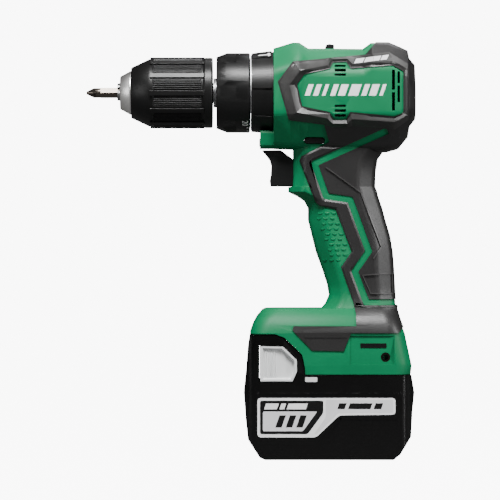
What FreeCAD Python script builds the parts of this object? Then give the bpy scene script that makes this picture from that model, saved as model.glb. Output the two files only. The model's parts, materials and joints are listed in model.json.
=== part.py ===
import FreeCAD, Part
import Sketcher
import math
import os
import re

from FreeCAD import Placement, Rotation, Vector

# Cordless hammer drill-driver. Millimetres, +Z up, the nose points to -X,
# and the origin is the middle of the battery's flat base.
# Stations along X and heights along Z are measured from that origin.

DIMENSIONS = {
    # spindle line
    "axis_height": 232.7,
    "bit_tip": -154.5,
    "bit_tail": -109.5,
    "bit_flats": 6.35,
    "jaw_front": -134.7,
    "jaw_radius": 3.6,
    "jaw_tilt": 15.0,
    "jaw_length": 34.0,
    "nose_front": -132.9,
    "nose_radius": 10.6,
    "core_radius": 14.0,
    "chuck_capacity": 13.0,
    "sleeve_front": -125.9,
    "sleeve_front_radius": 16.1,
    "sleeve_shoulder": -111.0,
    "sleeve_radius": 22.75,
    "sleeve_inside": 18.6,
    "sleeve_rear": -73.6,
    "grip_front": -113.3,
    "grip_rear": -78.7,
    "spindle_radius": 4.95,
    "thread_radius": 6.35,
    "collar_radius": 9.3,
    # clutch dial and mode ring
    "dial_front": -71.3,
    "dial_rear": -49.9,
    "dial_radius": 25.5,
    "dial_front_radius": 22.9,
    "dial_inside": 22.4,
    "ring_front": -49.0,
    "ring_rear": -35.5,
    "ring_front_radius": 25.6,
    "ring_rear_radius": 27.2,
    # gear case
    "case_radius": 24.0,
    "case_inside": 21.5,
    "case_front": -49.5,
    "case_rear": 8.0,
    "nose_tube_radius": 12.8,
    "nose_tube_inside": 9.8,
    "gear_pitch": 0.8,
    # motor
    "motor_front": 15.0,
    "motor_rear": 37.0,
    "stator_radius": 23.4,
    "rotor_radius": 13.4,
    "shaft_radius": 2.5,
    "fan_front": 39.9,
    "fan_rear": 46.4,
    "fan_radius": 21.5,
    # body
    "housing_front": -34.9,
    "housing_wall": 3.0,
    "rubber_depth": 1.2,
    "rubber_proud": 0.6,
    "trigger_face": -42.2,
    "trigger_back": -21.0,
    "trigger_top": 196.0,
    "trigger_bottom": 172.9,
    "trigger_half_width": 8.5,
    "button_front": -15.5,
    "button_rear": -2.6,
    "button_height": 201.6,
    "button_radius": 1.9,
    "button_reach": 20.6,
    "knob_front": -1.3,
    "knob_rear": 3.8,
    "hook_station": 35.4,
    "hook_height": 64.7,
    "hook_thread": 1.65,
    # battery
    "battery_half_width": 37.5,
    "battery_corner": 8.5,
    "battery_wall": 2.4,
    "battery_seam": 42.2,
    "cell_radius": 9.1,
    "cell_length": 65.0,
    "cell_pitch": 18.6,
    "cell_column": -37.2,
    "cell_row": 13.6,
    "rail_half_width": 30.5,
    "rail_top": 65.8,
    "rail_rear": 43.2,
}

# Barrel sections: station, top, bottom, half width, flat top half width, bottom half width
BARREL = [
    (-34.9, 260.8, 197.0, 28.6, 11.0, 15.0),
    (-23.0, 264.3, 196.6, 30.0, 14.0, 16.5),
    (-18.6, 264.3, 196.4, 30.3, 15.0, 17.0),
    (-12.8, 260.5, 196.2, 30.5, 16.0, 17.5),
    (21.8, 260.2, 195.2, 30.8, 16.0, 17.8),
    (26.9, 264.0, 195.0, 31.0, 16.0, 17.8),
    (37.8, 263.9, 195.6, 31.0, 16.0, 17.5),
    (44.2, 261.3, 197.4, 30.6, 15.0, 16.5),
    (49.9, 258.7, 204.4, 29.2, 13.5, 15.0),
    (51.0, 253.8, 211.2, 28.0, 12.0, 14.5),
    (54.5, 249.9, 215.7, 23.5, 10.0, 12.0),
]

# Grip sections: height, front, rear, half width
GRIP = [
    (200.0, -22.8, 40.0, 18.6),
    (194.9, -22.8, 34.6, 18.4),
    (189.8, -22.8, 30.9, 18.1),
    (181.0, -22.8, 29.6, 17.8),
    (172.6, -23.4, 29.4, 17.6),
    (172.4, -25.4, 29.4, 17.6),
    (169.3, -25.4, 30.7, 17.6),
    (166.4, -19.4, 31.3, 17.5),
    (163.5, -15.2, 32.3, 17.5),
    (159.0, -12.8, 33.9, 17.5),
    (151.4, -12.8, 35.9, 17.5),
    (141.0, -10.2, 39.0, 17.3),
    (130.9, -7.7, 40.7, 17.2),
    (120.4, -3.8, 41.5, 17.0),
    (110.4, -0.6, 42.0, 17.0),
    (103.6, 0.6, 42.4, 17.2),
    (98.4, -1.6, 42.8, 18.2),
    (93.0, -6.0, 43.4, 20.0),
]

# Foot sections: height, front, rear, half width
FOOT = [
    (53.8, -49.9, 51.8, 36.4),
    (59.2, -49.9, 52.4, 36.6),
    (66.9, -49.9, 50.7, 36.6),
    (79.7, -49.9, 48.0, 36.4),
    (84.8, -48.2, 46.1, 35.4),
    (89.9, -45.6, 44.4, 32.6),
    (94.2, -42.0, 43.3, 28.6),
    (95.2, -40.0, 43.1, 27.0),
]

# Outlines in the side view, as (station, height)
FOOT_UNDERCUT = [
    (-60.0, 79.2), (-33.9, 79.2), (-28.2, 77.0), (-17.0, 66.2), (-15.4, 58.6), (-14.7, 50.0), (-60.0, 50.0),
]
FOOT_FLOOR = [
    (-60.0, 82.0), (-33.0, 82.0), (-26.4, 79.4), (-15.2, 68.8), (60.0, 68.8), (60.0, 50.0), (-60.0, 50.0),
]
RUBBER_OUTLINE = [
    (-32.0, 238.5), (-20.9, 251.6), (23.0, 256.0), (30.1, 264.2), (30.1, 270.0), (62.0, 270.0),
    (62.0, 83.3), (46.7, 83.3), (43.5, 79.8), (13.7, 79.8), (9.0, 68.5), (-10.8, 68.9),
    (-23.2, 81.7), (-22.4, 84.2), (17.0, 84.2), (17.0, 91.2), (15.7, 98.9), (7.9, 121.3),
    (14.7, 131.1), (4.4, 158.1), (-5.4, 160.0), (-8.3, 162.4), (-18.6, 189.4), (-17.0, 191.9),
    (0.4, 200.6), (-3.0, 211.5), (-24.6, 214.1),
]
PANEL_OUTLINE = [
    (-20.2, 236.9), (-15.7, 243.0), (0.3, 246.7), (2.7, 250.8), (10.9, 251.2), (13.8, 246.7),
    (40.3, 248.8), (47.2, 245.1), (47.2, 218.9), (41.1, 216.5), (13.3, 219.3), (10.9, 214.5),
    (3.1, 214.5), (0.3, 219.3), (-16.9, 223.0),
]
STRIPE_ROUTE = [
    (37.1, 207.7), (-9.0, 187.2), (-1.5, 166.4), (13.7, 164.2), (25.5, 131.5), (16.6, 118.7),
    (24.0, 98.9), (42.6, 98.9),
]
STRIPE_WIDTH = 4.2
VENTS = [
    (3.6, 10.6, 248.0, 249.4), (3.6, 10.6, 244.9, 246.7), (3.6, 10.6, 242.2, 243.6),
    (3.6, 10.6, 222.5, 223.9), (3.6, 10.6, 219.3, 221.0), (3.6, 10.6, 216.3, 218.0),
    (39.7, 41.6, 233.4, 246.0), (39.7, 41.6, 220.2, 231.8),
    (43.2, 44.8, 237.6, 245.0), (43.2, 44.8, 225.6, 236.0),
]
SCREW_PLACES = [
    (43.5, 205.0), (-28.0, 201.4), (27.0, 169.0), (33.0, 124.0),
    (5.5, 111.0), (37.0, 86.0), (-41.0, 86.5), (-12.0, 165.0),
]

CASE_OUTLINE = [
    (-40.3, 0.0), (-43.8, 1.5), (-51.2, 13.0), (-52.5, 24.6), (-53.8, 42.2), (-52.5, 54.1),
    (-51.2, 70.7), (-49.9, 78.4), (-34.2, 78.4), (-28.6, 76.2), (-17.6, 65.6), (-16.0, 58.4),
    (-15.3, 53.4), (51.8, 53.4), (53.1, 46.4), (53.8, 42.2), (52.5, 31.0), (51.6, 14.7),
    (44.7, 3.4), (40.4, 0.0),
]
LATCH_OUTLINE = [
    (-43.7, 49.2), (-43.7, 72.1), (-29.0, 71.7), (-20.1, 63.1), (-20.1, 55.4), (-23.0, 49.2),
]
LABEL_OUTLINE = [
    (-45.2, 39.1), (41.6, 39.1), (41.6, 28.6), (6.3, 28.2), (-8.4, 14.3), (-45.2, 14.3),
]

doc = FreeCAD.newDocument("CordlessDrill")
sheet = doc.addObject("Spreadsheet::Sheet", "Sizes")


def fill_sheet():
    for row, (alias, value) in enumerate(DIMENSIONS.items(), start=1):
        sheet.set(f"A{row}", alias)
        sheet.set(f"B{row}", str(value))
        sheet.setAlias(f"B{row}", alias)
    doc.recompute()


fill_sheet()
ALIAS = re.compile(r"\b(" + "|".join(DIMENSIONS) + r")\b")
NODES = []


def bound(expression):
    """The same expression with every alias read from the sheet."""
    return ALIAS.sub(r"Sizes.\1", str(expression))


def size(expression):
    """The present value of an expression in sheet aliases."""
    return float(sheet.evalExpression(bound(expression)))


def node(label, item):
    """Registers a finished sub-part under its own name."""
    item.Label = label
    NODES.append(item)
    return item


AXIS = size("axis_height")
ON_AXIS = Placement(Vector(0, 0, AXIS), Rotation())


# ---- helpers: primitives and booleans bound to the sheet


def block(name, low, high):
    box = doc.addObject("Part::Box", name)
    for side, start, end in zip(("Length", "Width", "Height"), low, high):
        box.setExpression(side, bound(f"({end}) - ({start})"))
    for axis, start in zip("xyz", low):
        box.setExpression(f"Placement.Base.{axis}", bound(start))
    return box


def cylinder(name, radius, length, base, turn):
    item = doc.addObject("Part::Cylinder", name)
    item.setExpression("Radius", bound(radius))
    item.setExpression("Height", bound(length))
    item.Placement = Placement(Vector(), turn)
    for axis, start in zip("xyz", base):
        item.setExpression(f"Placement.Base.{axis}", bound(start))
    return item


def shaft_along_x(name, radius, start, end, y=0, z="axis_height"):
    turn = Rotation(Vector(0, 1, 0), 90)
    return cylinder(name, radius, f"({end}) - ({start})", (start, y, z), turn)


def pin_along_y(name, radius, low, high, x, z):
    turn = Rotation(Vector(1, 0, 0), -90)
    return cylinder(name, radius, f"({high}) - ({low})", (x, low, z), turn)


def cut(name, base, tools):
    item = doc.addObject("Part::Cut", name)
    item.Base = base
    item.Tool = tools[0] if len(tools) == 1 else fuse(name + "_tools", tools)
    return item


def fuse(name, pieces):
    item = doc.addObject("Part::MultiFuse", name)
    item.Shapes = pieces
    return item


def common(name, base, tool):
    item = doc.addObject("Part::Common", name)
    item.Base = base
    item.Tool = tool
    return item


def solid(name, shape, placement=None):
    item = doc.addObject("Part::Feature", name)
    item.Shape = shape
    if placement is not None:
        item.Placement = placement.multiply(shape.Placement)
    return item


def group(name, pieces):
    item = doc.addObject("Part::Compound", name)
    item.Links = pieces
    return item


# ---- helpers: PartDesign bodies


def origin_plane(body, role):
    return next(f for f in body.Origin.OriginFeatures if f.Role == role)


def outline_sketch(body, role, points, offset=None):
    """A closed sketch of straight lines; every corner is tied to the sheet."""
    sketch = body.newObject("Sketcher::SketchObject", body.Name + "_outline")
    sketch.AttachmentSupport = [(origin_plane(body, role), "")]
    sketch.MapMode = "FlatFace"
    if offset is not None:
        sketch.setExpression("AttachmentOffset.Base.z", bound(offset))
    places = [Vector(size(across), size(up), 0) for across, up in points]
    count = len(places)
    for i in range(count):
        sketch.addGeometry(Part.LineSegment(places[i], places[(i + 1) % count]), False)
    for i in range(count):
        sketch.addConstraint(Sketcher.Constraint("Coincident", i, 2, (i + 1) % count, 1))
    for i, (across, up) in enumerate(points):
        for kind, value, text in (("DistanceX", places[i].x, across), ("DistanceY", places[i].y, up)):
            number = sketch.addConstraint(Sketcher.Constraint(kind, -1, 1, i, 1, value))
            sketch.setExpression(f"Constraints[{number}]", bound(text))
    return sketch


def turned(name, profile):
    """A body revolved about the spindle line, from (station, radius) corners."""
    body = doc.addObject("PartDesign::Body", name)
    sketch = outline_sketch(body, "XZ_Plane", profile)
    turn = body.newObject("PartDesign::Revolution", name + "_turn")
    turn.Profile = sketch
    turn.ReferenceAxis = (sketch, ["H_Axis"])
    turn.Angle = 360
    body.setExpression("Placement.Base.z", bound("axis_height"))
    return body


def ring(name, start, end, inside, outside):
    return turned(name, [(start, inside), (start, outside), (end, outside), (end, inside)])


def repeated(body, corners, start, length, count, adds):
    """Repeats a bar or a pocket, drawn square to the spindle line, round that line."""
    sketch = outline_sketch(body, "YZ_Plane", corners, offset=start)
    kind = "PartDesign::Pad" if adds else "PartDesign::Pocket"
    feature = body.newObject(kind, body.Name + "_feature")
    feature.Profile = sketch
    feature.setExpression("Length", bound(length))
    feature.Reversed = not adds
    pattern = body.newObject("PartDesign::PolarPattern", body.Name + "_pattern")
    pattern.Originals = [feature]
    pattern.Axis = (next(f for f in body.Origin.OriginFeatures if f.Role == "X_Axis"), [""])
    pattern.Angle = 360
    pattern.Occurrences = count
    body.Tip = pattern
    return body


def slab(name, points, half_width, low=None):
    """A body padded square to the side view, from (station, height) corners."""
    body = doc.addObject("PartDesign::Body", name)
    sketch = outline_sketch(body, "XZ_Plane", points)
    pad = body.newObject("PartDesign::Pad", name + "_pad")
    pad.Profile = sketch
    if low is None:
        pad.SideType = "Symmetric"
        pad.setExpression("Length", bound(f"2 * ({half_width})"))
    else:
        pad.Reversed = True
        pad.setExpression("Length", bound(f"({half_width}) - ({low})"))
        body.setExpression("Placement.Base.y", bound(low))
    return body


# ---- helpers: shapes with no matching feature


def rounded_wire(corners, radius):
    """A closed wire whose corners are arcs of the given radius, limited by the sides."""
    count = len(corners)
    edges = []
    ends = []
    for i in range(count):
        corner, before, after = corners[i], corners[i - 1], corners[(i + 1) % count]
        back = (before - corner).normalize()
        ahead = (after - corner).normalize()
        half = back.getAngle(ahead) / 2
        reach = min(radius / math.tan(half), 0.45 * min((before - corner).Length, (after - corner).Length))
        fitted = reach * math.tan(half)
        inward = (back + ahead).normalize()
        middle = corner + inward * (fitted / math.sin(half) - fitted)
        ends.append((corner + back * reach, middle, corner + ahead * reach))
    for i in range(count):
        start, middle, end = ends[i]
        edges.append(Part.Arc(start, middle, end).toShape())
        edges.append(Part.LineSegment(end, ends[(i + 1) % count][0]).toShape())
    return Part.Wire(edges)


def prism(points, low, high):
    """A straight solid across the drill, from (station, height) corners."""
    corners = [Vector(x, low, z) for x, z in points]
    face = Part.Face(Part.makePolygon(corners + corners[:1]))
    return face.extrude(Vector(0, high - low, 0))


def squeezed(place, stations, low_shift, high_shift):
    """A place between the first and last stations, once both ends have moved inwards."""
    low, high = min(stations), max(stations)
    share = (place - low) / (high - low)
    return low + low_shift + share * (high - high_shift - low - low_shift)


def barrel_solid(inset):
    wires = []
    stations = [section[0] for section in BARREL]
    for station, top, bottom, half, flat, low_half in BARREL:
        at = squeezed(station, stations, max(inset, 0) * 0.8, inset)
        side_top, side_low = top - 15.5, 218.0
        corners = [
            (flat - inset * 0.4, top - inset), (half - inset, side_top - inset * 0.4),
            (half - inset, side_low), (low_half - inset, bottom + inset),
        ]
        loop = corners + [(-y, z) for y, z in reversed(corners)]
        wires.append(rounded_wire([Vector(at, y, z) for y, z in loop], 9.0))
    return Part.makeLoft(wires, True, True)


def grip_solid(inset):
    wires = []
    for height, front, rear, half in GRIP:
        f, r, w = front + inset, rear - inset, half - inset
        nose, tail = 0.52 * w, 0.62 * w
        corners = [
            (f, -nose), (f + 9.0, -w), (r - 11.0, -w), (r, -tail),
            (r, tail), (r - 11.0, w), (f + 9.0, w), (f, nose),
        ]
        wires.append(rounded_wire([Vector(x, y, height) for x, y in corners], 7.0))
    return Part.makeLoft(wires, True, True)


def foot_solid(inset):
    wires = []
    heights = [section[0] for section in FOOT]
    for height, front, rear, half in FOOT:
        at = squeezed(height, heights, 0, inset)
        f, r, w = front + inset, rear - inset, half - inset
        corners = [(f, -w), (r, -w), (r, w), (f, w)]
        wires.append(rounded_wire([Vector(x, y, at) for x, y in corners], 11.0 - inset))
    block_shape = Part.makeLoft(wires, True, True)
    return block_shape.cut(prism(FOOT_UNDERCUT, -60, 60))


def lobe_solid(inset):
    corners = [(-13.5, 197.1), (13.5, 197.1), (15.5, 209.0), (-15.5, 209.0)]
    start = size("housing_front") - 8.6 + inset
    shrunk = [(y - math.copysign(inset, y), z + (inset if z < 200 else 0)) for y, z in corners]
    wire = rounded_wire([Vector(start, y, z) for y, z in shrunk], 3.0)
    lobe = Part.Face(wire).extrude(Vector(16.0, 0, 0))
    room = Part.makeCylinder(28.0, 9.0, Vector(-44.0, 0, AXIS), Vector(1, 0, 0))
    return lobe.cut(room)


def body_solid(inset):
    """The whole gripped body, moved inwards by the inset."""
    pieces = [grip_solid(inset), foot_solid(inset), lobe_solid(inset)]
    return barrel_solid(inset).multiFuse(pieces).removeSplitter()


def thick_route(route, width):
    """The solid swept by a band of the given width along straight runs."""
    band = None
    for (x0, z0), (x1, z1) in zip(route, route[1:]):
        run = Vector(x1 - x0, 0, z1 - z0)
        side = Vector(-run.z, 0, run.x).normalize() * (width / 2)
        start, end = Vector(x0, 0, z0), Vector(x1, 0, z1)
        corners = [start + side, start - side, end - side, end + side]
        piece = prism([(c.x, c.z) for c in corners], -60, 60)
        knee = Part.makeCylinder(width / 2, 120, Vector(x1, -60, z1), Vector(0, 1, 0))
        band = piece.fuse(knee) if band is None else band.multiFuse([piece, knee])
    return band


def involute(angle):
    return math.tan(angle) - angle


def tooth_angles(teeth, pitch, radii, play):
    """Half the angle of a tooth at each radius; play widens or thins it at the pitch line."""
    pressure = math.radians(25)
    pitch_radius = teeth * pitch / 2
    base = pitch_radius * math.cos(pressure)
    at_pitch = math.pi / (2 * teeth) + play / (2 * pitch_radius)
    angles = []
    for radius in radii:
        local = math.acos(base / max(radius, base))
        angles.append(at_pitch + involute(pressure) - involute(local))
    return angles


def toothed_wire(teeth, radii, play, start, turn):
    """A closed toothed outline at one station, with straight flanks between the radii."""
    pitch = size("gear_pitch")
    halves = tooth_angles(teeth, pitch, radii, play)
    points = []
    for i in range(teeth):
        middle = turn + 2 * math.pi * i / teeth
        left = [(r, middle - half) for r, half in zip(radii, halves)]
        right = [(r, middle + half) for r, half in zip(reversed(radii), reversed(halves))]
        for radius, angle in left + right:
            points.append(Vector(start, radius * math.cos(angle), radius * math.sin(angle)))
    return Part.makePolygon(points + points[:1])


def outer_gear(teeth, start, end, turn):
    pitch = size("gear_pitch")
    middle = teeth * pitch / 2
    radii = [middle - 1.15 * pitch, middle - 0.35 * pitch, middle, middle + 0.85 * pitch]
    face = Part.Face(toothed_wire(teeth, radii, -0.16, start, turn))
    return face.extrude(Vector(end - start, 0, 0))


def inner_gear(teeth, start, end, turn, outside):
    pitch = size("gear_pitch")
    middle = teeth * pitch / 2
    radii = [middle - 0.8 * pitch, middle, middle + 0.5 * pitch, middle + 1.15 * pitch]
    space = toothed_wire(teeth, radii, 0.16, start, turn + math.pi / teeth)
    disc = Part.makeCylinder(outside, end - start, Vector(start, 0, 0), Vector(1, 0, 0))
    return disc.cut(Part.Face(space).extrude(Vector(end - start, 0, 0)))


def banded_spring(radius, wire, length, turns):
    """A wide spring on the XY plane along +Z, as straight bands between round sections."""
    steps = 24
    sections = []
    for k in range(turns * steps + 1):
        angle = 2 * math.pi * k / steps
        x, y = radius * math.cos(angle), radius * math.sin(angle)
        centre = Vector(x, y, length * k / (turns * steps))
        heading = Vector(-y, x, length / (2 * math.pi * turns))
        sections.append(Part.Wire(Part.makeCircle(wire, centre, heading)))
    return Part.makeLoft(sections, True, True)


def coil_spring(radius, wire, length, turns):
    """A round-wire spring standing on the XY plane along +Z."""
    helix = Part.makeHelix(length / turns, length, radius)
    section = Part.Wire(Part.makeCircle(wire, Vector(radius, 0, 0), Vector(0, 1, 0)))
    return Part.Wire(helix).makePipeShell([section], True, True)


# ---- chuck and bit


def make_bit():
    flats = size("bit_flats")
    tip, tail = size("bit_tip"), size("bit_tail")
    rear = tip + 9.0
    reach = flats / math.sqrt(3)
    turns = [k * math.pi / 3 for k in range(7)]
    corners = [Vector(rear, reach * math.cos(turn), reach * math.sin(turn)) for turn in turns]
    shank = Part.Face(Part.makePolygon(corners)).extrude(Vector(tail - rear, 0, 0))
    along = Vector(1, 0, 0)
    neck = Part.makeCylinder(3.1, 4.3, Vector(tip + 4.7, 0, 0), along)
    point = Part.makeCone(0.9, 3.1, 4.7, Vector(tip, 0, 0), along)
    bit = shank.multiFuse([neck, point])
    flutes = []
    for k in range(4):
        flute = Part.makeBox(7.0, 3.0, 3.0, Vector(tip - 1.0, 0.55, 0.55))
        flute.rotate(Vector(), along, 90 * k)
        flutes.append(flute)
    node("screwdriver_bit", solid("Bit", bit.cut(flutes), ON_AXIS))


def jaw_direction():
    tilt = math.radians(size("jaw_tilt"))
    return Vector(math.cos(tilt), 0, math.sin(tilt))


def make_jaws():
    """Three round jaws, each with a flat that bears on one flat of the bit."""
    radius, front = size("jaw_radius"), size("jaw_front")
    for number in range(3):
        direction = jaw_direction()
        start = Vector(front, 0, 2.2) - direction * 3.0
        rod = Part.makeCylinder(radius, size("jaw_length") + 3.0, start, direction)
        grip = Part.makeBox(60, 20, 30, Vector(front, -10, size("bit_flats") / 2 + 0.03))
        jaw = rod.common(grip)
        jaw.rotate(Vector(), Vector(1, 0, 0), 120 * number)
        node(f"chuck_jaw_{number + 1}", solid(f"Jaw{number + 1}", jaw, ON_AXIS))


def make_chuck_body():
    core = turned("ChuckCore", [
        ("nose_front", "chuck_capacity / 2 + 0.1"), ("nose_front", "nose_radius - 1.2"),
        ("nose_front + 1.2", "nose_radius"), ("sleeve_front - 0.6", "core_radius"),
        ("-80", "core_radius"), ("-80", "collar_radius"), ("sleeve_rear - 0.3", "collar_radius"),
        ("sleeve_rear - 0.3", "thread_radius"), ("-88", "thread_radius"), ("-88", "2.7"),
        ("-94", "2.7"), ("-94", "chuck_capacity / 2 + 0.1"),
    ])
    bores = []
    for number in range(3):
        direction = jaw_direction()
        start = Vector(size("jaw_front"), 0, 2.2) - direction * 3.0
        bore = Part.makeCylinder(size("jaw_radius") + 0.08, size("jaw_length") + 16.5, start, direction)
        bore.rotate(Vector(), Vector(1, 0, 0), 120 * number)
        bores.append(bore)
    slots = solid("JawBores", bores[0].multiFuse(bores[1:]), ON_AXIS)
    node("chuck_body", cut("ChuckBody", core, [slots]))


def make_chuck_sleeve():
    sleeve = turned("ChuckSleeve", [
        ("sleeve_front", "core_radius + 0.25"), ("sleeve_front", "sleeve_front_radius"),
        ("sleeve_shoulder", "sleeve_radius - 0.5"), ("grip_rear", "sleeve_radius - 0.5"),
        ("grip_rear", "sleeve_radius"), ("sleeve_rear - 0.8", "sleeve_radius"),
        ("sleeve_rear", "sleeve_radius - 0.8"), ("sleeve_rear", "collar_radius + 0.3"),
        ("sleeve_rear - 3", "collar_radius + 0.3"), ("sleeve_rear - 3", "sleeve_inside"),
        ("sleeve_shoulder - 1", "sleeve_inside"), ("sleeve_front + 3", "core_radius + 0.25"),
    ])
    bar = [("-1.1", "sleeve_radius - 1.2"), ("1.1", "sleeve_radius - 1.2"),
           ("1.1", "sleeve_radius - 0.03"), ("-1.1", "sleeve_radius - 0.03")]
    node("chuck_sleeve", repeated(sleeve, bar, "grip_front + 2.5", "grip_rear - grip_front - 2.5", 12, True))
    node("chuck_nut", turned("ChuckNut", [
        ("-109.4", "core_radius + 0.2"), ("-109.4", "sleeve_inside - 0.05"),
        ("-103.4", "sleeve_inside - 0.05"), ("-103.4", "core_radius + 0.75"),
        ("-105.4", "core_radius + 0.2"),
    ]))


def make_spindle():
    node("chuck_screw", turned("ChuckScrew", [
        ("-96.6", "0"), ("-96.6", "4.6"), ("-94.05", "4.6"), ("-94.05", "2.6"), ("-82", "2.6"), ("-82", "0"),
    ]))
    node("spindle", turned("Spindle", [
        ("-81.9", "0"), ("-81.9", "2.6"), ("-87.9", "2.6"), ("-87.9", "thread_radius - 0.02"),
        ("-73.8", "thread_radius - 0.02"), ("-72.6", "6.6"), ("-69", "6.6"), ("-69", "spindle_radius"),
        ("-24.1", "spindle_radius"), ("-24.1", "0"),
    ]))


# ---- clutch and mode ring


def make_clutch():
    dial = turned("ClutchDial", [
        ("dial_front", "nose_tube_radius + 0.4"), ("dial_front", "dial_front_radius"),
        ("dial_front + 6.7", "dial_radius"), ("dial_rear - 0.8", "dial_radius"),
        ("dial_rear", "dial_radius - 0.8"), ("dial_rear", "dial_inside"),
        ("dial_front + 2", "dial_inside"), ("dial_front + 2", "nose_tube_radius + 0.4"),
    ])
    finger_grip = [
        ("dial_radius + 3", "6.5"), ("dial_radius - 0.6", "6.5"), ("dial_radius - 1.5", "3"),
        ("dial_radius - 1.5", "-3"), ("dial_radius - 0.6", "-6.5"), ("dial_radius + 3", "-6.5"),
    ]
    node("clutch_dial", repeated(dial, finger_grip, "dial_front - 1", "13.6", 6, False))
    node("mode_ring", turned("ModeRing", [
        ("ring_front", "case_radius + 0.35"), ("ring_front", "ring_front_radius"),
        ("ring_rear - 0.6", "ring_rear_radius"), ("ring_rear", "ring_rear_radius - 0.6"),
        ("ring_rear", "case_radius + 0.35"),
    ]))
    plate = ring("SpringPlate", "-64.6", "-62.8", "nose_tube_radius + 0.25", "dial_inside - 0.3")
    node("spring_plate", plate)
    coil = banded_spring(17.0, 1.1, 10.6, 4)
    coil.rotate(Vector(), Vector(0, 1, 0), 90)
    coil.translate(Vector(-61.4, 0, 0))
    node("clutch_spring", solid("ClutchSpring", coil, ON_AXIS))
    node("spindle_ratchet", ring("SpindleRatchet", "-58", "-56", "spindle_radius", "nose_tube_inside - 0.5"))
    node("fixed_ratchet", ring("FixedRatchet", "-61.5", "-58.6", "spindle_radius + 0.6", "nose_tube_inside"))


def make_gear_case():
    case = turned("GearCaseTurned", [
        ("sleeve_rear + 0.4", "6.9"), ("sleeve_rear + 0.4", "collar_radius"), ("-70", "collar_radius"),
        ("-70", "nose_tube_radius"), ("case_front", "nose_tube_radius"), ("case_front", "case_radius"),
        ("case_rear", "case_radius"), ("case_rear", "case_inside"), ("case_front + 3", "case_inside"),
        ("case_front + 3", "nose_tube_inside"), ("-69.6", "nose_tube_inside"), ("-69.6", "6.9"),
    ])
    slot = block("ShiftSlot", ("-8.2", "-3.6", "axis_height + 15"), ("2.4", "3.6", "axis_height + 30"))
    node("gear_case", cut("GearCase", case, [slot]))


# ---- planetary gears: sun teeth, planet teeth and face stations of each stage
STAGES = [
    {"sun": 12, "planet": 15, "planet_span": (1.2, 7.0), "ring_span": (1.0, 7.4), "plate": (-1.9, 0.6)},
    {"sun": 15, "planet": 12, "planet_span": (-9.0, -2.6), "ring_span": (-9.3, -2.4), "plate": (-12.0, -9.6)},
    {"sun": 15, "planet": 12, "planet_span": (-20.4, -12.7), "ring_span": (-20.6, -12.5),
     "plate": (-24.0, -21.0)},
]
PIN_RADIUS = 1.5


def orbit(stage):
    return (stage["sun"] + stage["planet"]) * size("gear_pitch") / 2


def make_planets(number, stage):
    sun, planet = stage["sun"], stage["planet"]
    start, end = stage["planet_span"]
    along = Vector(1, 0, 0)
    for k in range(3):
        place = 2 * math.pi * k / 3
        turn = place + math.pi - math.pi / planet + sun / planet * place
        gear = outer_gear(planet, start, end, turn)
        gear = gear.cut(Part.makeCylinder(PIN_RADIUS + 0.05, 30, Vector(start - 10, 0, 0), along))
        gear.translate(Vector(0, orbit(stage) * math.cos(place), orbit(stage) * math.sin(place)))
        node(f"planet_{number}_{k + 1}", solid(f"Planet{number}{k + 1}", gear, ON_AXIS))


def make_ring_gear(number, stage):
    teeth = stage["sun"] + 2 * stage["planet"]
    start, end = stage["ring_span"]
    outside = size("case_inside") - 0.15
    shape = inner_gear(teeth, start, end, math.pi * stage["planet"] / teeth, outside)
    node(f"ring_gear_{number}", solid(f"RingGear{number}", shape, ON_AXIS))


def make_carrier(number, stage, next_stage):
    start, end = stage["plate"]
    along = Vector(1, 0, 0)
    pieces = []
    for k in range(3):
        place = 2 * math.pi * k / 3
        base = Vector(start, orbit(stage) * math.cos(place), orbit(stage) * math.sin(place))
        pieces.append(Part.makeCylinder(PIN_RADIUS, stage["planet_span"][1] - start, base, along))
    if next_stage:
        pieces.append(outer_gear(next_stage["sun"], next_stage["planet_span"][0] - 0.2, start, 0))
        plate = Part.makeCylinder(14.2, end - start, Vector(start, 0, 0), along)
        shape = plate.multiFuse(pieces)
    else:
        hub = Part.makeCylinder(8.0, 8.0, Vector(start - 8, 0, 0), along)
        plate = Part.makeCylinder(14.6, end - start, Vector(start, 0, 0), along)
        shape = plate.multiFuse(pieces + [hub])
        shape = shape.cut(Part.makeCylinder(size("spindle_radius"), 8.1, Vector(start - 8.1, 0, 0), along))
    node(f"carrier_{number}", solid(f"Carrier{number}", shape, ON_AXIS))


def make_gears():
    for index, stage in enumerate(STAGES):
        following = STAGES[index + 1] if index + 1 < len(STAGES) else None
        make_planets(index + 1, stage)
        make_ring_gear(index + 1, stage)
        make_carrier(index + 1, stage, following)


# ---- motor


def make_rotor():
    pinion = outer_gear(STAGES[0]["sun"], 0.9, 7.6, 0)
    shaft = Part.makeCylinder(size("shaft_radius"), 50.8 - 7.6, Vector(7.6, 0, 0), Vector(1, 0, 0))
    node("rotor_shaft", solid("RotorShaft", pinion.fuse(shaft), ON_AXIS))
    node("rotor_core", ring("RotorCore", "motor_front", "motor_rear", "shaft_radius", "rotor_radius"))
    fan = turned("CoolingFan", [
        ("fan_front", "shaft_radius"), ("fan_front", "7"), ("fan_rear - 1.4", "9"),
        ("fan_rear - 1.4", "fan_radius"), ("fan_rear", "fan_radius"), ("fan_rear", "shaft_radius"),
    ])
    blade = [("-0.6", "7.5"), ("0.6", "7.5"), ("0.6", "fan_radius - 0.4"), ("-0.6", "fan_radius - 0.4")]
    node("cooling_fan", repeated(fan, blade, "fan_front + 0.6", "fan_rear - fan_front - 1.4", 13, True))


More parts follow.
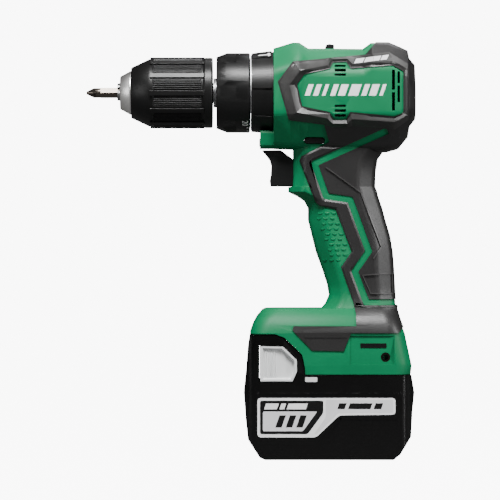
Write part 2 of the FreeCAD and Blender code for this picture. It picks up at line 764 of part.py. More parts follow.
def make_stator():
    start, end = size("motor_front"), size("motor_rear")
    outside = size("stator_radius")
    along = Vector(1, 0, 0)
    yoke = Part.makeCylinder(outside, end - start, Vector(start, 0, 0), along)
    yoke = yoke.cut(Part.makeCylinder(outside - 2.6, end - start, Vector(start, 0, 0), along))
    inner = Part.makeCylinder(size("rotor_radius") + 0.5, 60, Vector(0, 0, 0), along)
    teeth, coils = [], []
    for k in range(6):
        tooth = Part.makeBox(end - start, 5.0, outside - 12.0, Vector(start, -2.5, 11.0)).cut(inner)
        tooth = tooth.common(Part.makeCylinder(outside - 1.0, 60, Vector(0, 0, 0), along))
        coil = Part.makeBox(end - start + 4.0, 9.4, 5.0, Vector(start - 2.0, -4.7, 15.0))
        coil = coil.cut(Part.makeBox(end - start + 0.2, 5.2, 8.0, Vector(start - 0.1, -2.6, 14.0)))
        for shape in (tooth, coil):
            shape.rotate(Vector(), along, 60 * k)
        teeth.append(tooth)
        coils.append(coil)
    node("stator_core", solid("StatorCore", yoke.multiFuse(teeth), ON_AXIS))
    node("stator_coils", solid("StatorCoils", Part.makeCompound(coils), ON_AXIS))


def make_bearings():
    rows = [
        ("-68.6", "-63", "spindle_radius + 0.04", "nose_tube_inside"),
        ("-53", "-47", "spindle_radius + 0.04", "nose_tube_inside"),
        ("8.7", "12.3", "shaft_radius + 0.04", "6.5"),
        ("47.3", "50.6", "shaft_radius + 0.04", "6.5"),
    ]
    pieces = [ring(f"Bearing{i}", *row) for i, row in enumerate(rows)]
    node("ball_bearings", group("BallBearings", pieces))


# ---- housing


def screw_posts(inset):
    posts = [Part.makeCylinder(3.9, 80, Vector(x, -40, z), Vector(0, 1, 0)) for x, z in SCREW_PLACES]
    return posts[0].multiFuse(posts[1:]).common(inset)


def screw_room():
    """Shaft and head room of every housing screw, entered from +Y."""
    rooms = []
    for x, z in SCREW_PLACES:
        rooms.append(Part.makeCylinder(1.95, 20, Vector(x, -9, z), Vector(0, 1, 0)))
        rooms.append(Part.makeCylinder(3.1, 40, Vector(x, 8, z), Vector(0, 1, 0)))
    return rooms


def housing_rooms():
    """Everything cut through the shell: nose, trigger, buttons, vents and the battery slot."""
    along = Vector(1, 0, 0)
    rooms = screw_room()
    rooms.append(Part.makeCylinder(size("case_radius") + 0.05, 60, Vector(-45, 0, AXIS), along))
    half = size("trigger_half_width") + 0.4
    rooms.append(Part.makeBox(26, 2 * half, 24.4, Vector(-40, -half, 172.5)))
    rooms.append(capsule(-0.25, 60))
    rooms.append(Part.makeBox(12.4, 13.0, 8.0, Vector(-2.0, -6.5, 256.9)))
    for x0, x1, z0, z1 in VENTS:
        rooms.append(Part.makeBox(x1 - x0, 120, z1 - z0, Vector(x0, -60, z0)))
    neck = size("rail_half_width") - 5.6
    rail = size("rail_half_width") + 0.4
    rooms.append(Part.makeBox(70, 2 * neck, 8, Vector(-22, -neck, 51)))
    rooms.append(Part.makeBox(70, 2 * rail, 7.4, Vector(-22, -rail, 58.8)))
    for side in (-1, 1):
        rooms.append(hook_hole(side, 3.0))
        rooms.append(Part.makeBox(28, 1.2, 18, Vector(13, side * 36.2 - 0.6, 60.2)))
    rooms.append(Part.makeBox(4.0, 9.4, 5.0, Vector(-45, -4.7, 198.4)))
    return rooms


def hook_hole(side, radius):
    start = Vector(size("hook_station"), side * 31.4, size("hook_height"))
    return Part.makeCylinder(radius, 8, start, Vector(0, side, 0))


def capsule(inset, reach):
    """The push-through button's section, run across the drill."""
    radius = size("button_radius") - inset
    front, rear, height = (size(k) for k in ("button_front", "button_rear", "button_height"))
    first, last = front + size("button_radius"), rear - size("button_radius")
    across = Vector(0, 1, 0)
    ends = [Part.makeCylinder(radius, 2 * reach, Vector(x, -reach, height), across) for x in (first, last)]
    middle = Part.makeBox(last - first, 2 * reach, 2 * radius, Vector(first, -reach, height - radius))
    return middle.multiFuse(ends).removeSplitter()


def bearing_ribs():
    ribs = []
    for start, end in ((9.0, 12.0), (47.5, 50.4)):
        rib = Part.makeCylinder(26.0, end - start, Vector(start, 0, AXIS), Vector(1, 0, 0))
        ribs.append(rib.cut(Part.makeCylinder(6.5, 60, Vector(0, 0, AXIS), Vector(1, 0, 0))))
    return ribs


def rubber_region():
    region = prism(RUBBER_OUTLINE, -60, 60)
    return region.cut([prism(PANEL_OUTLINE, -60, 60), thick_route(STRIPE_ROUTE, STRIPE_WIDTH)])


def make_housing():
    outer = body_solid(0)
    cavity = body_solid(size("housing_wall")).cut(prism(FOOT_FLOOR, -60, 60))
    posts = screw_posts(body_solid(1.5).cut(prism(FOOT_FLOOR, -60, 60)))
    ribs = [rib.common(cavity) for rib in bearing_ribs()]
    shell = outer.cut(cavity).multiFuse([posts] + ribs)
    shell = shell.cut(housing_rooms())
    seat = outer.cut(body_solid(size("rubber_depth"))).common(rubber_region())
    shell = shell.cut(seat)
    proud = body_solid(-size("rubber_proud")).cut(body_solid(size("rubber_depth")))
    rubber = proud.common(rubber_region()).cut(housing_rooms())
    for side, name in ((-1, "left"), (1, "right")):
        half = Part.makeBox(300, 60, 400, Vector(-150, 0 if side > 0 else -60, -50))
        node(f"{name}_housing", solid(f"{name}Housing", main_solid(shell.common(half))))
        node(f"{name}_overmould", solid(f"{name}Overmould", tidy_solids(rubber.common(half))))


def main_solid(shape):
    return max(shape.Solids, key=lambda s: s.Volume)


def tidy_solids(shape):
    """Only the real pieces: crumbs under 20 cubic millimetres are dropped."""
    kept = [s for s in shape.Solids if s.Volume > 20]
    return kept[0] if len(kept) == 1 else Part.makeCompound(kept)


def make_screws():
    pieces = []
    for x, z in SCREW_PLACES:
        across = Vector(0, 1, 0)
        shaft = Part.makeCylinder(1.9, 16.0, Vector(x, -7.9, z), across)
        head = Part.makeCylinder(3.0, 2.4, Vector(x, 8.05, z), across)
        drive = Part.makeBox(0.9, 1.6, 3.6, Vector(x - 0.45, 9.2, z - 1.8))
        pieces.append(shaft.fuse(head).cut(drive))
    node("housing_screws", solid("HousingScrews", Part.makeCompound(pieces)))


def make_controls():
    face = slab("Trigger", [
        ("trigger_face", "trigger_top - 0.2"), ("-39.4", "192.6"), ("-37.2", "189.6"), ("-36.2", "186"),
        ("-36.6", "180"), ("-37.3", "176.4"), ("-36.7", "trigger_bottom"), ("trigger_back", "trigger_bottom"),
        ("trigger_back", "189"), ("-30.3", "trigger_top"),
    ], "trigger_half_width")
    plunger = shaft_along_x("Plunger", "2.4", "trigger_back - 2", "-9.5", z="183")
    node("trigger", fuse("TriggerWhole", [face, plunger]))
    spring = coil_spring(3.6, 0.45, 6.8, 5)
    spring.rotate(Vector(), Vector(0, 1, 0), 90)
    spring.translate(Vector(-20.3, 0, 183))
    node("trigger_spring", solid("TriggerSpring", spring))
    case = block("SwitchCase", ("-13", "-9.5", "171"), ("20", "9.5", "195"))
    bore = shaft_along_x("SwitchBore", "2.5", "-13.1", "-2", z="183")
    node("switch_body", cut("SwitchBody", case, [bore]))
    node("direction_button", solid("DirectionButton", capsule(0, size("button_reach"))))
    knob = block("KnobTop", ("knob_front", "-5.5", "258"), ("knob_rear", "5.5", "263.4"))
    base = block("KnobBase", ("-1.8", "-6.2", "257.1"), ("7.2", "6.2", "258.6"))
    fork = block("ShiftFork", ("-7.6", "-3", "256.4"), ("-0.8", "3", "257.1"))
    foot = block("ForkFoot", ("-7.6", "-3", "axis_height + 21.36"), ("-6", "3", "256.6"))
    node("speed_knob", fuse("SpeedKnob", [knob, base, fork, foot]))
    node("led_lens", block("LedLens", ("-44", "-4.6", "198.5"), ("-41.2", "4.6", "203.2")))


def make_electronics():
    node("controller_board", block("ControllerBoard", ("-36", "-24", "83.4"), ("20", "24", "88.6")))
    back = block("TerminalBack", ("43.6", "-20", "59.4"), ("47.8", "20", "66"))
    blades = [back]
    for k, y in enumerate((-15, -5, 5, 15)):
        blades.append(block(f"Blade{k}", ("24", f"{y} - 0.4", "60"), ("43.8", f"{y} + 0.4", "65")))
    node("terminal_block", fuse("TerminalBlock", blades))
    pieces = []
    for side in (-1, 1):
        y, place = side * 33.55, ("hook_station", "hook_height")
        outer = pin_along_y(f"Insert{side + 1}", "2.95", f"{y} - 2.1", f"{y} + 2.1", *place)
        hole = pin_along_y(f"InsertHole{side + 1}", "hook_thread", f"{y} - 5", f"{y} + 5", *place)
        pieces.append(cut(f"InsertCut{side + 1}", outer, [hole]))
    node("hook_inserts", group("HookInserts", pieces))


# ---- battery


def case_solid(inset):
    """The battery case from its side outline and its rounded plan, moved inwards."""
    half = size("battery_half_width") - inset
    side = Part.Wire(Part.makePolygon([Vector(x, -half, z) for x, z in CASE_OUTLINE + CASE_OUTLINE[:1]]))
    face = Part.Face(side)
    if inset:
        face = Part.Face(side.makeOffset2D(-inset))
    body = face.extrude(Vector(0, 2 * half, 0))
    corners = [(-54.2, -1), (54.2, -1), (54.2, 1), (-54.2, 1)]
    plan = [Vector(math.copysign(abs(x) - inset, x), y * half, -5) for x, y in corners]
    wire = rounded_wire(plan, size("battery_corner") - inset)
    return body.common(Part.Face(wire).extrude(Vector(0, 0, 100)))


def latch_prism(grow, low, high):
    wire = Part.makePolygon([Vector(x, low, z) for x, z in LATCH_OUTLINE + LATCH_OUTLINE[:1]])
    face = Part.Face(Part.Wire(wire).makeOffset2D(grow)) if grow else Part.Face(wire)
    return face.extrude(Vector(0, high - low, 0))


def rail_solid():
    half = size("rail_half_width")
    neck = Part.makeBox(60.8, 2 * (half - 6), 8, Vector(-17.6, -(half - 6), 52))
    top = Part.makeBox(size("rail_rear") + 19, 2 * half, size("rail_top") - 59.2, Vector(-19, -half, 59.2))
    return neck.fuse(top)


def make_battery_cases():
    seam, wall = size("battery_seam"), size("battery_wall")
    outer = case_solid(0)
    hollow = case_solid(wall)
    low = Part.makeBox(200, 100, seam + 10, Vector(-100, -50, -10))
    lower = outer.common(low).cut(hollow)
    node("battery_lower_case", solid("BatteryLower", main_solid(lower)))
    upper = outer.cut(low).fuse(rail_solid())
    upper = upper.cut(hollow.cut(low).common(Part.makeBox(200, 100, 51 - seam, Vector(-100, -50, seam))))
    hump = case_solid(wall).common(Part.makeBox(29, 100, 60, Vector(-60, -50, 50)))
    upper = upper.cut(hump)
    rooms = []
    for y in (-15, -5, 5, 15):
        rooms.append(Part.makeBox(24, 3.4, 10, Vector(22.5, y - 1.7, 59.8)))
    for side in (-1, 1):
        low_y, high_y = sorted((side * 27.8, side * 40))
        rooms.append(latch_prism(0.25, low_y, high_y))
    node("battery_upper_case", solid("BatteryUpper", main_solid(upper.cut(rooms))))


def make_battery_inside():
    cells = []
    radius, length = size("cell_radius"), size("cell_length")
    for column in range(5):
        for row in range(2):
            x = size("cell_column") + column * size("cell_pitch")
            z = size("cell_row") + row * size("cell_pitch")
            cells.append(Part.makeCylinder(radius, length, Vector(x, -length / 2, z), Vector(0, 1, 0)))
    node("battery_cells", solid("BatteryCells", Part.makeCompound(cells)))
    board = Part.makeBox(72, 56, 1.6, Vector(-30, -28, 43.6))
    clips = []
    for y in (-15, -5, 5, 15):
        for side in (-1, 1):
            clips.append(Part.makeBox(9, 0.6, 5.0, Vector(25.5, y + side * 1.0 - 0.3, 59.8)))
    node("battery_board", solid("BatteryBoard", Part.makeCompound([board] + clips)))


def make_latches():
    springs = []
    for side, name in ((-1, "left"), (1, "right")):
        outside = side * (size("battery_half_width") - 0.2)
        low, high = sorted((outside, outside - side * 6.0))
        button = latch_prism(-0.05, low, high)
        node(f"latch_button_{name}", solid(f"Latch{name}", button))
        spring = coil_spring(3.0, 0.4, 7.4, 5)
        spring.rotate(Vector(), Vector(1, 0, 0), 90 if side > 0 else -90)
        spring.translate(Vector(-36, side * 30.6, 61))
        springs.append(spring)
    node("latch_springs", solid("LatchSprings", Part.makeCompound(springs)))


def make_labels():
    half = size("battery_half_width")
    labels = [prism(LABEL_OUTLINE, half, half + 0.25), prism(LABEL_OUTLINE, -half - 0.25, -half)]
    node("battery_labels", solid("BatteryLabels", Part.makeCompound(labels)))


make_bit()
make_jaws()
make_chuck_body()
make_chuck_sleeve()
make_spindle()
make_clutch()
make_gear_case()
make_gears()
make_rotor()
make_stator()
make_bearings()
make_housing()
make_screws()
make_controls()
make_electronics()
make_battery_cases()
make_battery_inside()
make_latches()
make_labels()
doc.recompute()


def check_document():
    for item in doc.Objects:
        if "Invalid" in item.State or "Error" in item.State:
            raise RuntimeError(f"{item.Name} failed: {item.State}")
    for item in NODES:
        if item.Shape.isNull() or not item.Shape.isValid():
            raise RuntimeError(f"{item.Label} has no valid shape")


def write_parts():
    os.makedirs("parts", exist_ok=True)
    for item in NODES:
        item.Shape.exportStep(os.path.join("parts", item.Label + ".step"))
    print(len(NODES), "parts written")


check_document()
write_parts()
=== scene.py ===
# %% [markdown]
# A cordless hammer drill in Blender. The engineering model already holds every
# working part in its right place, so this lesson loads it as a fixed frame and
# then gives each part the shape and finish that the eye expects: moulded
# plastic, rubber, turned steel and a printed battery label.

# %% Load the engineering frame
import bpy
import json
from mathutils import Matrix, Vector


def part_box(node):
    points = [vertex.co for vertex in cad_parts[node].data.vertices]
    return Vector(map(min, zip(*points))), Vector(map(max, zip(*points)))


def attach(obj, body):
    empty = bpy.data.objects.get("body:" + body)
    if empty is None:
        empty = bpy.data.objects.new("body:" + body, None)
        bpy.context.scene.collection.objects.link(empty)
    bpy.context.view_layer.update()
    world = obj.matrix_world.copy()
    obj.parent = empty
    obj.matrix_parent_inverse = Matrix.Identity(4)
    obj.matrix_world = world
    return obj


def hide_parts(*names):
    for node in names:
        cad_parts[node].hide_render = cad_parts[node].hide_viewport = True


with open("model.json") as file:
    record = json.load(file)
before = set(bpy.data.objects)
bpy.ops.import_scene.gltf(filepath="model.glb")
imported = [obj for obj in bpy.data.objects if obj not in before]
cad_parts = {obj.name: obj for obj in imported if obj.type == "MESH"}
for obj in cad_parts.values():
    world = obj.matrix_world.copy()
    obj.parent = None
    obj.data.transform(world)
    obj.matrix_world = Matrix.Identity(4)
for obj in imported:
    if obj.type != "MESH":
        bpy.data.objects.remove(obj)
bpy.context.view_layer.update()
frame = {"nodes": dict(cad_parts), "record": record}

import json
import math

import bmesh
import bpy
from mathutils import Matrix, Vector
from mathutils.bvhtree import BVHTree

MM = 0.001
AXIS_HEIGHT = 232.7  # height of the spindle line, in millimetres like all sizes below
ALONG, UP = Vector((1, 0, 0)), Vector((0, 0, 1))
WELD = 1e-6
BODY_OF = {node: body for body, nodes in frame["record"]["behaviour"]["bodies"].items() for node in nodes}
SLOT_OF = {entry["node"]: entry["material_slot"] for entry in frame["record"]["subparts"]}


# %% [markdown]
# Materials come first. Several finishes share the same fine effects, so each
# effect is a node group that puts out plain masks and heights. A group is made
# once, and every material sets how strongly it uses it.

# %% A small kit for shader nodes
def add(tree, kind, **settings):
    node = tree.nodes.new(kind)
    for key, value in settings.items():
        setattr(node, key, value)
    return node


def wire(tree, source, target):
    tree.links.new(source, target)


def effect_group(title, scale, mottle_detail):
    """A group with its slow mottle wired, and the three sockets that a fine effect needs."""
    group = bpy.data.node_groups.new(title, "ShaderNodeTree")
    for label, value in (("Scale", scale), ("Mottle Scale", 60.0)):
        socket = group.interface.new_socket(label, in_out="INPUT", socket_type="NodeSocketFloat")
        socket.default_value = value
    for label in ("Height", "Mottle"):
        group.interface.new_socket(label, in_out="OUTPUT", socket_type="NodeSocketFloat")
    start = add(group, "NodeGroupInput")
    end = add(group, "NodeGroupOutput")
    place = add(group, "ShaderNodeTexCoord")
    slow = add(group, "ShaderNodeTexNoise")
    slow.inputs["Detail"].default_value = mottle_detail
    wire(group, place.outputs["Object"], slow.inputs["Vector"])
    wire(group, start.outputs["Mottle Scale"], slow.inputs["Scale"])
    wire(group, slow.outputs["Fac"], end.inputs["Mottle"])
    return group, place.outputs["Object"], start.outputs["Scale"], end.inputs["Height"]


# %% Grain: the fine spark-eroded texture of moulded plastic
def make_grain_group():
    group, place, scale, height = effect_group("Moulded grain", 2500.0, 3.0)
    fine = add(group, "ShaderNodeTexNoise")
    fine.inputs["Detail"].default_value = 2.0
    wire(group, place, fine.inputs["Vector"])
    wire(group, scale, fine.inputs["Scale"])
    wire(group, fine.outputs["Fac"], height)
    return group


# %% Pebble: the leather-like cells moulded into grip rubber
def make_pebble_group():
    group, place, scale, height = effect_group("Pebbled rubber", 900.0, 4.0)
    cells = add(group, "ShaderNodeTexVoronoi", feature="DISTANCE_TO_EDGE")
    wire(group, place, cells.inputs["Vector"])
    wire(group, scale, cells.inputs["Scale"])
    flat_top = add(group, "ShaderNodeMath", operation="MINIMUM")
    flat_top.inputs[1].default_value = 0.25
    wire(group, cells.outputs["Distance"], flat_top.inputs[0])
    wire(group, flat_top.outputs[0], height)
    return group


# %% Turned: the fine rings that a lathe tool leaves round the spindle line
def make_turned_group():
    group, place, scale, height = effect_group("Turned metal", 3000.0, 2.0)
    stretch = add(group, "ShaderNodeMapping")
    stretch.inputs["Scale"].default_value = (1.0, 0.02, 0.02)
    wire(group, place, stretch.inputs["Vector"])
    rings = add(group, "ShaderNodeTexNoise")
    rings.inputs["Detail"].default_value = 2.0
    wire(group, stretch.outputs["Vector"], rings.inputs["Vector"])
    wire(group, scale, rings.inputs["Scale"])
    wire(group, rings.outputs["Fac"], height)
    return group


GRAIN, PEBBLE, TURNED = make_grain_group(), make_pebble_group(), make_turned_group()
print("groups made:", GRAIN.name, PEBBLE.name, TURNED.name)


# %% [markdown]
# One function makes every finish. The group's mottle swings the colour and the
# roughness a little, and its height feeds a bump, so no surface is quite even.

# %% A material maker: Principled shader, bump and mottled colour and roughness
MATERIALS = {}
TINT_SWING = 0.14
BUMP_HEIGHT = 0.0001
MIX_FACTOR, MIX_A, MIX_B, MIX_RESULT = 0, 6, 7, 2  # the colour sockets of a Mix node


def finish(name, colour, roughness, grain=0.0, scale=2500.0, metallic=0.0, mottle=0.06, shine=0.5,
           effect=GRAIN):
    material = bpy.data.materials.new(name)
    material.use_nodes = True
    tree = material.node_tree
    shader = tree.nodes["Principled BSDF"]
    shader.inputs["Metallic"].default_value = metallic
    shader.inputs["Specular IOR Level"].default_value = shine
    source = add(tree, "ShaderNodeGroup", node_tree=effect)
    source.inputs["Scale"].default_value = scale
    tint = add(tree, "ShaderNodeMix", data_type="RGBA")
    tint.inputs[MIX_A].default_value = (*[c * (1 - TINT_SWING) for c in colour], 1.0)
    tint.inputs[MIX_B].default_value = (*[min(c * (1 + TINT_SWING), 1.0) for c in colour], 1.0)
    wire(tree, source.outputs["Mottle"], tint.inputs[MIX_FACTOR])
    wire(tree, tint.outputs[MIX_RESULT], shader.inputs["Base Color"])
    spread = add(tree, "ShaderNodeMapRange")
    spread.inputs["To Min"].default_value = roughness - mottle
    spread.inputs["To Max"].default_value = roughness + mottle
    wire(tree, source.outputs["Mottle"], spread.inputs["Value"])
    wire(tree, spread.outputs["Result"], shader.inputs["Roughness"])
    if grain:
        bump = add(tree, "ShaderNodeBump")
        bump.inputs["Strength"].default_value = grain
        bump.inputs["Distance"].default_value = BUMP_HEIGHT
        wire(tree, source.outputs["Height"], bump.inputs["Height"])
        wire(tree, bump.outputs["Normal"], shader.inputs["Normal"])
    MATERIALS[name] = material


finish("green_plastic", (0.0, 0.135, 0.050), 0.50, grain=0.3, scale=2200, shine=0.25)
finish("black_rubber", (0.009, 0.0085, 0.0085), 0.42, grain=0.8, scale=1100, effect=PEBBLE)
finish("black_plastic", (0.004, 0.004, 0.004), 0.38, grain=0.3, scale=2400, shine=0.3)
finish("battery_plastic", (0.0018, 0.0018, 0.0018), 0.20, grain=0.1, scale=2400, shine=0.35)
finish("grey_plastic", (0.62, 0.63, 0.63), 0.42, grain=0.25)
finish("label_film", (0.003, 0.003, 0.003), 0.25)
finish("chuck_steel", (0.92, 0.90, 0.87), 0.38, metallic=1.0, grain=0.15, effect=TURNED)
finish("tool_steel", (0.12, 0.105, 0.09), 0.30, metallic=1.0, grain=0.1)
finish("jaw_steel", (0.22, 0.22, 0.22), 0.35, metallic=1.0, grain=0.1)
finish("sintered_steel", (0.32, 0.32, 0.33), 0.5, metallic=1.0, grain=0.3)
finish("magnet_steel", (0.25, 0.25, 0.27), 0.45, metallic=1.0, grain=0.2)
finish("cast_alloy", (0.6, 0.61, 0.62), 0.45, metallic=1.0, grain=0.4)
finish("copper", (0.70, 0.28, 0.12), 0.35, metallic=1.0, grain=0.2)
finish("brass", (0.75, 0.52, 0.20), 0.3, metallic=1.0, grain=0.1)
finish("clear_lens", (0.85, 0.9, 0.95), 0.1)
finish("board", (0.01, 0.08, 0.03), 0.4)
finish("cell_wrap", (0.05, 0.15, 0.35), 0.35)
finish("loop_rubber", (0.022, 0.0215, 0.021), 0.36, grain=0.4, scale=1100, effect=PEBBLE)
finish("edge_rubber", (0.035, 0.034, 0.034), 0.40, grain=0.2, scale=1100)
finish("white_print", (0.80, 0.80, 0.80), 0.35, mottle=0.04)
finish("silver_print", (0.62, 0.62, 0.63), 0.30, mottle=0.04)
# painted shade: brass darkened to stand for the shadow inside the insert holes
finish("shade_darkened_insert", (0.02, 0.018, 0.015), 0.4, metallic=1.0, grain=0.2)
print(len(MATERIALS), "finishes")


# %% [markdown]
# The record names a material slot for each part, and the part takes the finish
# of that name. Only the brass inserts get a darker one: painted shade for the holes they sit in.

# %% Give every engineering part its finish
for node, slot_name in SLOT_OF.items():
    part = bpy.data.objects[node]
    part.data.materials.clear()
    part.data.materials.append(MATERIALS["shade_darkened_insert" if node == "hook_inserts" else slot_name])
print("finishes given to", len(SLOT_OF), "parts")


# %% [markdown]
# Every new piece ends the same way: its mesh is welded, its faces are turned
# outwards, sharp edges are kept sharp to the light, and it is tied to the body
# it moves with. A Bevel modifier rounds the edges, because no moulded or
# machined part has a perfectly sharp one and the round is what catches light.

# %% Finishing a piece
SHARP_ANGLE = 32  # degrees of fold from which an edge is rounded and kept sharp


def round_edges(piece, width, angle=SHARP_ANGLE):
    rounding = piece.modifiers.new("rounded edges", "BEVEL")
    rounding.width = width * MM
    rounding.segments = 2
    rounding.limit_method = "ANGLE"
    rounding.angle_limit = math.radians(angle)
    rounding.miter_outer = "MITER_ARC"
    rounding.harden_normals = True


def settle(name, bm, body, slot, look=None, covers=(), sharp=SHARP_ANGLE):
    """Makes a piece that moves with body; look names its finish where it isn't the slot's own."""
    mesh = bpy.data.meshes.new(name)
    bm.to_mesh(mesh)
    bm.free()
    mesh.materials.append(MATERIALS[look or slot])
    mesh.shade_smooth()
    mesh.set_sharp_from_angle(angle=math.radians(sharp))
    piece = bpy.data.objects.new(name, mesh)
    bpy.context.scene.collection.objects.link(piece)
    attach(piece, body)
    if covers:
        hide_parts(*covers)
    return piece


def closed(bm):
    bmesh.ops.remove_doubles(bm, verts=bm.verts, dist=WELD)
    bmesh.ops.recalc_face_normals(bm, faces=bm.faces)
    return bm


def everything(bm):
    return bm.verts[:] + bm.edges[:] + bm.faces[:]


# %% [markdown]
# The shells of the body are already the right shape in the engineering model,
# but as loose triangles with knife edges. A copy is welded, its flat regions
# are dissolved back to single faces, and its edges are rounded.

# %% Copies of engineering parts with rounded edges
def welded_copy(node):
    bm = bmesh.new()
    bm.from_mesh(frame["nodes"][node].data)
    bmesh.ops.remove_doubles(bm, verts=bm.verts, dist=WELD)
    bmesh.ops.dissolve_limit(bm, angle_limit=math.radians(1.0), verts=bm.verts, edges=bm.edges)
    return bm


def soften(node, width):
    piece = settle(node + "_shell", welded_copy(node), BODY_OF[node], SLOT_OF[node], covers=[node])
    round_edges(piece, width)


EDGE_WIDTHS = {
    "left_housing": 0.5, "right_housing": 0.5, "battery_upper_case": 0.9, "battery_lower_case": 0.9,
    "trigger": 2.0, "direction_button": 0.5, "speed_knob": 0.8, "clutch_dial": 0.5,
    "screwdriver_bit": 0.15, "chuck_jaw_1": 0.2, "chuck_jaw_2": 0.2, "chuck_jaw_3": 0.2,
}
for node, width in EDGE_WIDTHS.items():
    soften(node, width)
print(len(EDGE_WIDTHS), "rounded copies made")


# %% [markdown]
# The speed slider carries a rounded thumb dome. Half a sphere is cut off, its
# open side is filled, and it is stretched and set into the slider's top.

# %% The speed slider's dome
DOME_RADII = (2.9, 4.4, 2.9)
DOME_SHIFT, DOME_SINK = 1.2, 2.2


def make_knob_dome():
    low, high = (Vector(corner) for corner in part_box("speed_knob"))
    middle = (low + high) / 2
    bm = bmesh.new()
    bmesh.ops.create_uvsphere(bm, u_segments=32, v_segments=16, radius=1.0)
    bmesh.ops.bisect_plane(bm, geom=everything(bm), dist=WELD, plane_co=(0, 0, 0), plane_no=-UP,
                           clear_outer=True)
    bmesh.ops.holes_fill(bm, edges=[edge for edge in bm.edges if edge.is_boundary], sides=0)
    bmesh.ops.scale(bm, verts=bm.verts, vec=[radius * MM for radius in DOME_RADII])
    place = (middle.x + DOME_SHIFT * MM, 0.0, high.z - DOME_SINK * MM)
    bmesh.ops.translate(bm, verts=bm.verts, vec=place)
    settle("speed_knob_dome", closed(bm), "speed_selector", "black_plastic")


make_knob_dome()
print("speed slider's dome made")


# %% [markdown]
# The rubber is moulded over the shell and stands proud of it with broad
# bevelled borders. The outer skin of the engineering solid is picked by
# walking from its outermost face over gentle folds only; insetting that skin
# with a lift makes the bevel all the way round, and the open seam between the
# two halves is left alone.

# %% The rubber overmould with its bevelled borders
GENTLE_FOLD = 40
SKIN_BORDER, SKIN_LIFT = 1.2, 0.7
SEAM_REACH = 2e-5
SKIN_SHARP = 28


def outer_skin(bm, side):
    seed = max(bm.faces, key=lambda face: side * face.normal.y * face.calc_area())
    skin, edge_of_skin = {seed}, [seed]
    while edge_of_skin:
        face = edge_of_skin.pop()
        for edge in face.edges:
            if len(edge.link_faces) != 2 or edge.calc_face_angle(0) > math.radians(GENTLE_FOLD):
                continue
            for other in edge.link_faces:
                if other not in skin:
                    skin.add(other)
                    edge_of_skin.append(other)
    return list(skin)


def make_overmould(node, side):
    bm = welded_copy(node)
    seam = [face for face in bm.faces if all(abs(vert.co.y) < SEAM_REACH for vert in face.verts)]
    bmesh.ops.delete(bm, geom=seam, context="FACES_ONLY")
    skin = outer_skin(bm, side)
    ring = bmesh.ops.inset_region(
        bm, faces=skin, thickness=SKIN_BORDER * MM, depth=SKIN_LIFT * MM,
        use_boundary=False, use_even_offset=True,
    )
    print(node, "skin faces", len(skin), "bevel faces", len(ring["faces"]))
    piece = settle(node + "_skin", bm, "drill_body", "black_rubber", covers=[node], sharp=SKIN_SHARP)
    round_edges(piece, 0.25, angle=SKIN_SHARP)


SIDES = {-1: "left", 1: "right"}
for side, hand in SIDES.items():
    make_overmould(f"{hand}_overmould", side)


# %% [markdown]
# The chuck sleeve is a moulded cone and barrel. Its outline is spun round the
# spindle line, and then twelve broad bars and, between them, rows of fine ribs
# are laid round it with a loop: that is cheaper than cutting grooves, and each
# bar keeps a clean edge for the light.

# %% Spinning an outline round the spindle line
RING_FRONT, RING_REAR = -48.4, -36.1
AXIS = Vector((0, 0, AXIS_HEIGHT * MM))


def spin_outline(bm, outline, steps=96, angle=360.0, start=0.0):
    """Spins (station, radius) corners round the spindle line; 0 degrees is the side at -Y."""
    verts = [bm.verts.new((x * MM, -r * MM, AXIS_HEIGHT * MM)) for x, r in outline]
    edges = [bm.edges.new((a, b)) for a, b in zip(verts, verts[1:] + verts[:1])]
    geometry = verts + edges
    if start:
        bmesh.ops.rotate(bm, verts=verts, cent=AXIS, matrix=Matrix.Rotation(math.radians(start), 3, "X"))
    full = angle >= 360.0
    if not full:
        face = bm.faces.new(verts)
        geometry = [face] + geometry
    bmesh.ops.spin(
        bm, geom=geometry, cent=AXIS, axis=ALONG, dvec=(0, 0, 0), angle=math.radians(angle),
        steps=steps, use_merge=full, use_normal_flip=False, use_duplicate=False,
    )


def bar_on_sleeve(bm, first, last, low, high, width, turn, slope=0.0):
    """A bar from radius low to high, turned round the spindle line; slope follows a cone."""
    made = bmesh.ops.create_cube(bm, size=1.0)["verts"]
    for vert in made:
        station = (first + last) / 2 + vert.co.x * (last - first)
        radius = (low + high) / 2 - vert.co.y * (high - low) + slope * (station - RING_FRONT)
        vert.co = Vector((station, -radius, AXIS_HEIGHT + vert.co.z * width)) * MM
    bmesh.ops.rotate(bm, verts=made, cent=AXIS, matrix=Matrix.Rotation(math.radians(turn), 3, "X"))


# %% The chuck sleeve
SLEEVE_OUTLINE = [
    (-125.7, 14.4), (-125.9, 15.9), (-125.5, 16.3), (-114.5, 21.5), (-113.2, 21.7), (-79.6, 21.7),
    (-78.6, 22.5), (-74.3, 22.5), (-73.7, 21.9), (-73.6, 9.8), (-76.0, 9.8), (-76.0, 18.6), (-110.0, 18.6),
    (-120.0, 14.4),
]
BAR_TURN = 2.7
BARS, RIBS = 12, 6
RIB_START, RIB_STEP = 7.2, 3.1
# Each bar is first and last station, low and high radius, and width.
BROAD_BAR = (-113.6, -79.0, 20.0, 22.72, 3.3)
FINE_RIB = (-111.4, -80.6, 20.5, 22.15, 0.75)
RIB_STOP = (-111.9, -111.2, 20.5, 22.2, 8.2)


def make_sleeve():
    bm = bmesh.new()
    spin_outline(bm, SLEEVE_OUTLINE, steps=120)
    for k in range(BARS):
        turn = BAR_TURN + 360 / BARS * k
        bar_on_sleeve(bm, *BROAD_BAR, turn)
        for rib in range(RIBS):
            bar_on_sleeve(bm, *FINE_RIB, turn + RIB_START + rib * RIB_STEP)
        bar_on_sleeve(bm, *RIB_STOP, turn + 180 / BARS)
    return settle("chuck_sleeve_moulding", closed(bm), "sleeve", "black_plastic", covers=["chuck_sleeve"])


round_edges(make_sleeve(), 0.3)
print("chuck sleeve made")


# %% [markdown]
# The nose is turned steel, a short cone that narrows to a flat front with a
# small chamfer inside and out. One spin of its outline makes it.

